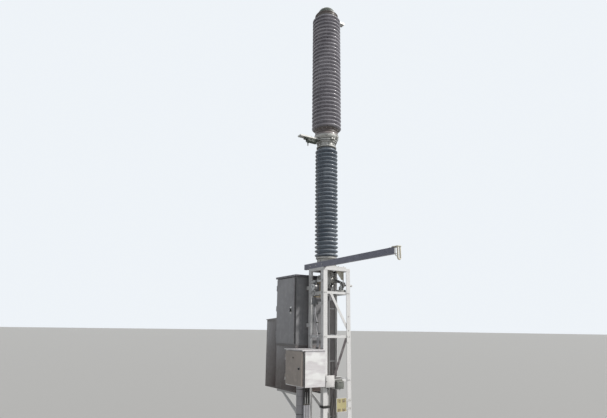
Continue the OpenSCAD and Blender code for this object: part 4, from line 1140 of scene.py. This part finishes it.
def duct_details():
    p = Piece("duct_clamps", "black_plastic")
    duct = (middle("cable_hose", "x"), middle("cable_hose", "y"))
    for z, radius in ((0.33, 0.0705), (0.7, 0.0665), (1.043, 0.0705)):
        p.hoop((*duct, z), UP, radius, 0.0035, steps=64)
    for z in (0.45, 0.58, 0.82, 0.95):
        p.hoop((*duct, z), UP, 0.0652, 0.0012, steps=64, sides=6)
    for at in CONDUIT_PLACES:
        p.turned([(0.0125, 0), (0.0192, 0), (0.0192, 0.01), (0.0125, 0.014)], (*at, 0.834), steps=32)
    p.finish()
    c = Piece("conduit_couplings", "conduit_plastic")
    for at in CONDUIT_PLACES:
        for z in (0.3, 0.62):
            c.turned([(0.0165, 0), (0.02, 0.002), (0.02, 0.048), (0.0165, 0.05)], (*at, z), steps=40)
    for z in (1.42, 2.1):
        c.turned([(0.018, 0), (0.0235, 0.002), (0.0235, 0.058), (0.018, 0.06)], (*RISER, z), steps=40)
    c.finish()
    b = Piece("conduit_strap", "black_plastic")
    left, right = span("riser_conduit", "x")
    front, foot, top, thick = span("riser_conduit", "y")[0] - 0.001, 0.777, 0.811, 0.0015
    b.slab((left - 0.001, front, foot), (right + 0.001, front + thick, top), 0.0004)
    for x in (left - 0.001, right - 0.0005):
        b.slab((x, front, foot), (x + thick, -0.1205, top), 0.0004)
    b.bolt((-0.175, front, 0.794), FRONT, 0.006)
    b.finish()


# Small boxes, plate, tray and arm

def small_box_details():
    (left, right), (front, back), (foot, top) = [span("switch_box", axis) for axis in "xyz"]

    def layer(piece, inset, start, end, bevel, segments=2):
        """Flat part of the box, smaller than it on four sides, between two depths from its front."""
        piece.slab((left + inset, front + start, foot + inset), (right - inset, front + end, top - inset),
                   bevel, segments)

    p = Piece("switch_box_case", "white_paint")
    layer(p, 0.004, 0.008, back - front, 0.003)
    layer(p, 0.0, 0.0, 0.0065, 0.003, 3)
    layer(p, 0.015, -0.0015, 0.0005, 0.001)
    p.finish(replaces=("switch_box",))
    d = Piece("switch_box_trim", "black_plastic")
    layer(d, 0.0025, 0.006, 0.0085, 0.0005)
    for z in (1.1, 1.205):
        d.slab((-0.1045, -0.284, z - 0.012), (-0.0995, -0.262, z + 0.012), 0.001)
    d.boss((left + 0.01, front, (foot + top) / 2), FRONT, 0.006, 0.004, 0.001, 20)
    for x in (-0.21, -0.15):
        d.gland((x, -0.246, foot + 0.004), (0.013, 0.01), (0.01, 0.014))
    d.finish()
    s = Piece("socket_case", "green_grey_paint")
    s.slab((-0.046, -0.267, 1.038), (0.084, -0.214, 1.148), 0.004, 3)
    s.slab((-0.036, -0.27, 1.048), (0.074, -0.2665, 1.138), 0.002)
    s.slab((-0.01, -0.2735, 1.128), (0.048, -0.2665, 1.142), 0.002)
    s.slab((-0.058, -0.215, 1.03), (0.096, -0.207, 1.168), 0.001)
    s.finish(replaces=("socket_box",))
    f = Piece("socket_frame")
    for x in (-0.06, 0.0855):
        f.slab((x, -0.2175, 1.028), (x + 0.0125, -0.2145, 1.168), 0.0008)
    f.slab((-0.06, -0.2175, 1.026), (0.098, -0.2145, 1.0365), 0.0008)
    for x in (-0.053, 0.091):
        f.bolt((x, -0.2175, 1.156), FRONT, 0.005)
    for x in (-0.032, 0.07):
        for z in (1.053, 1.133):
            f.screw((x, -0.27, z), FRONT, 0.003)
    f.gland((0.019, -0.24, 1.038), (0.012, 0.01), (0.009, 0.014))
    f.finish()


def sign_details():
    p = Piece("sign_border", "white_paint")
    left, front, (foot, top) = span("sign_plate", "x")[0], span("sign_plate", "y")[0], span("sign_plate")
    p.frame_strip((left, front - 0.0008, foot), (0.164, front + 0.0004, top), 0.006)
    p.finish()
    b = Piece("sign_bolts")
    for z in (0.748, 0.863):
        for x in (0.105, 0.15):
            b.bolt((x, front, z), FRONT, 0.005)
        b.bolt((0.236, -0.219, z), FRONT, 0.0075)
    b.finish()


def tray_details():
    p = Piece("tray_straps")
    for z in (0.62, 1.02, 1.42, 1.82, 2.22):
        p.slab((-0.005, -0.0105, z - 0.009), (0.104, -0.008, z + 0.009), 0.0008)
        for x in (0.004, 0.095):
            p.bolt((x, -0.0105, z), FRONT, 0.005)
    p.finish()
    c = Piece("tray_loose_cables", "black_plastic", look="grey_cable")
    c.tube([(0.012, -0.012, 1.0), (0.014, -0.016, 0.8), (0.06, -0.022, 0.58), (0.088, -0.024, 0.42),
            (0.092, -0.024, 0.256)], 0.0085)
    c.tube([(0.086, -0.012, 0.98), (0.084, -0.016, 0.82), (0.04, -0.03, 0.6), (0.012, -0.034, 0.44),
            (0.008, -0.034, 0.256)], 0.0085)
    c.tube([(0.045, -0.012, 1.4), (0.05, -0.014, 1.2), (0.03, -0.02, 1.0), (0.052, -0.04, 0.6),
            (0.05, -0.042, 0.256)], 0.0075)
    c.finish()


def arm_details():
    p = Piece("arm_bolts")
    for y in (-0.17, 0.0, 0.17):
        p.bolt((-POST_X, y, middle("side_arm")), LEFT, 0.01)
        p.bolt((-0.253, y, middle("side_arm")), RIGHT, 0.01, nut=True)
        p.bolt((-0.23, y, 2.86), UP, 0.009, nut=True)
    p.bolt((-0.233, -1.795, span("arm_loops")[1]), UP, 0.01, nut=True)
    p.finish()
    e = Piece("arm_end_plate", "arm_paint")
    left, right = span("side_arm", "x")
    end = span("side_arm", "y")[1]
    gap = 0.0005
    e.slab((left + gap, end - 0.003, ARM_FOOT + gap), (right - gap, end - 0.0002, ARM_TOP - gap), 0.0005)
    e.finish()


# Everything is put together here; only frame_welds draws random numbers

set_camera()
add_sun()
add_sky()
add_floor()
FINISHES = make_finishes()
dress_cad_nodes()
for build in (insulators, column_castings, column_bolts, cement_joints, neck_fittings, clamp_body,
              frame_bolts, anchor_bolts, frame_welds, crank_details, drive_details, valve_body,
              gauge_details, switch_details, instrument_hoses, cabinet_details, mechanism_details,
              junction_box_details, duct_details, small_box_details, sign_details, tray_details,
              arm_details):
    build()
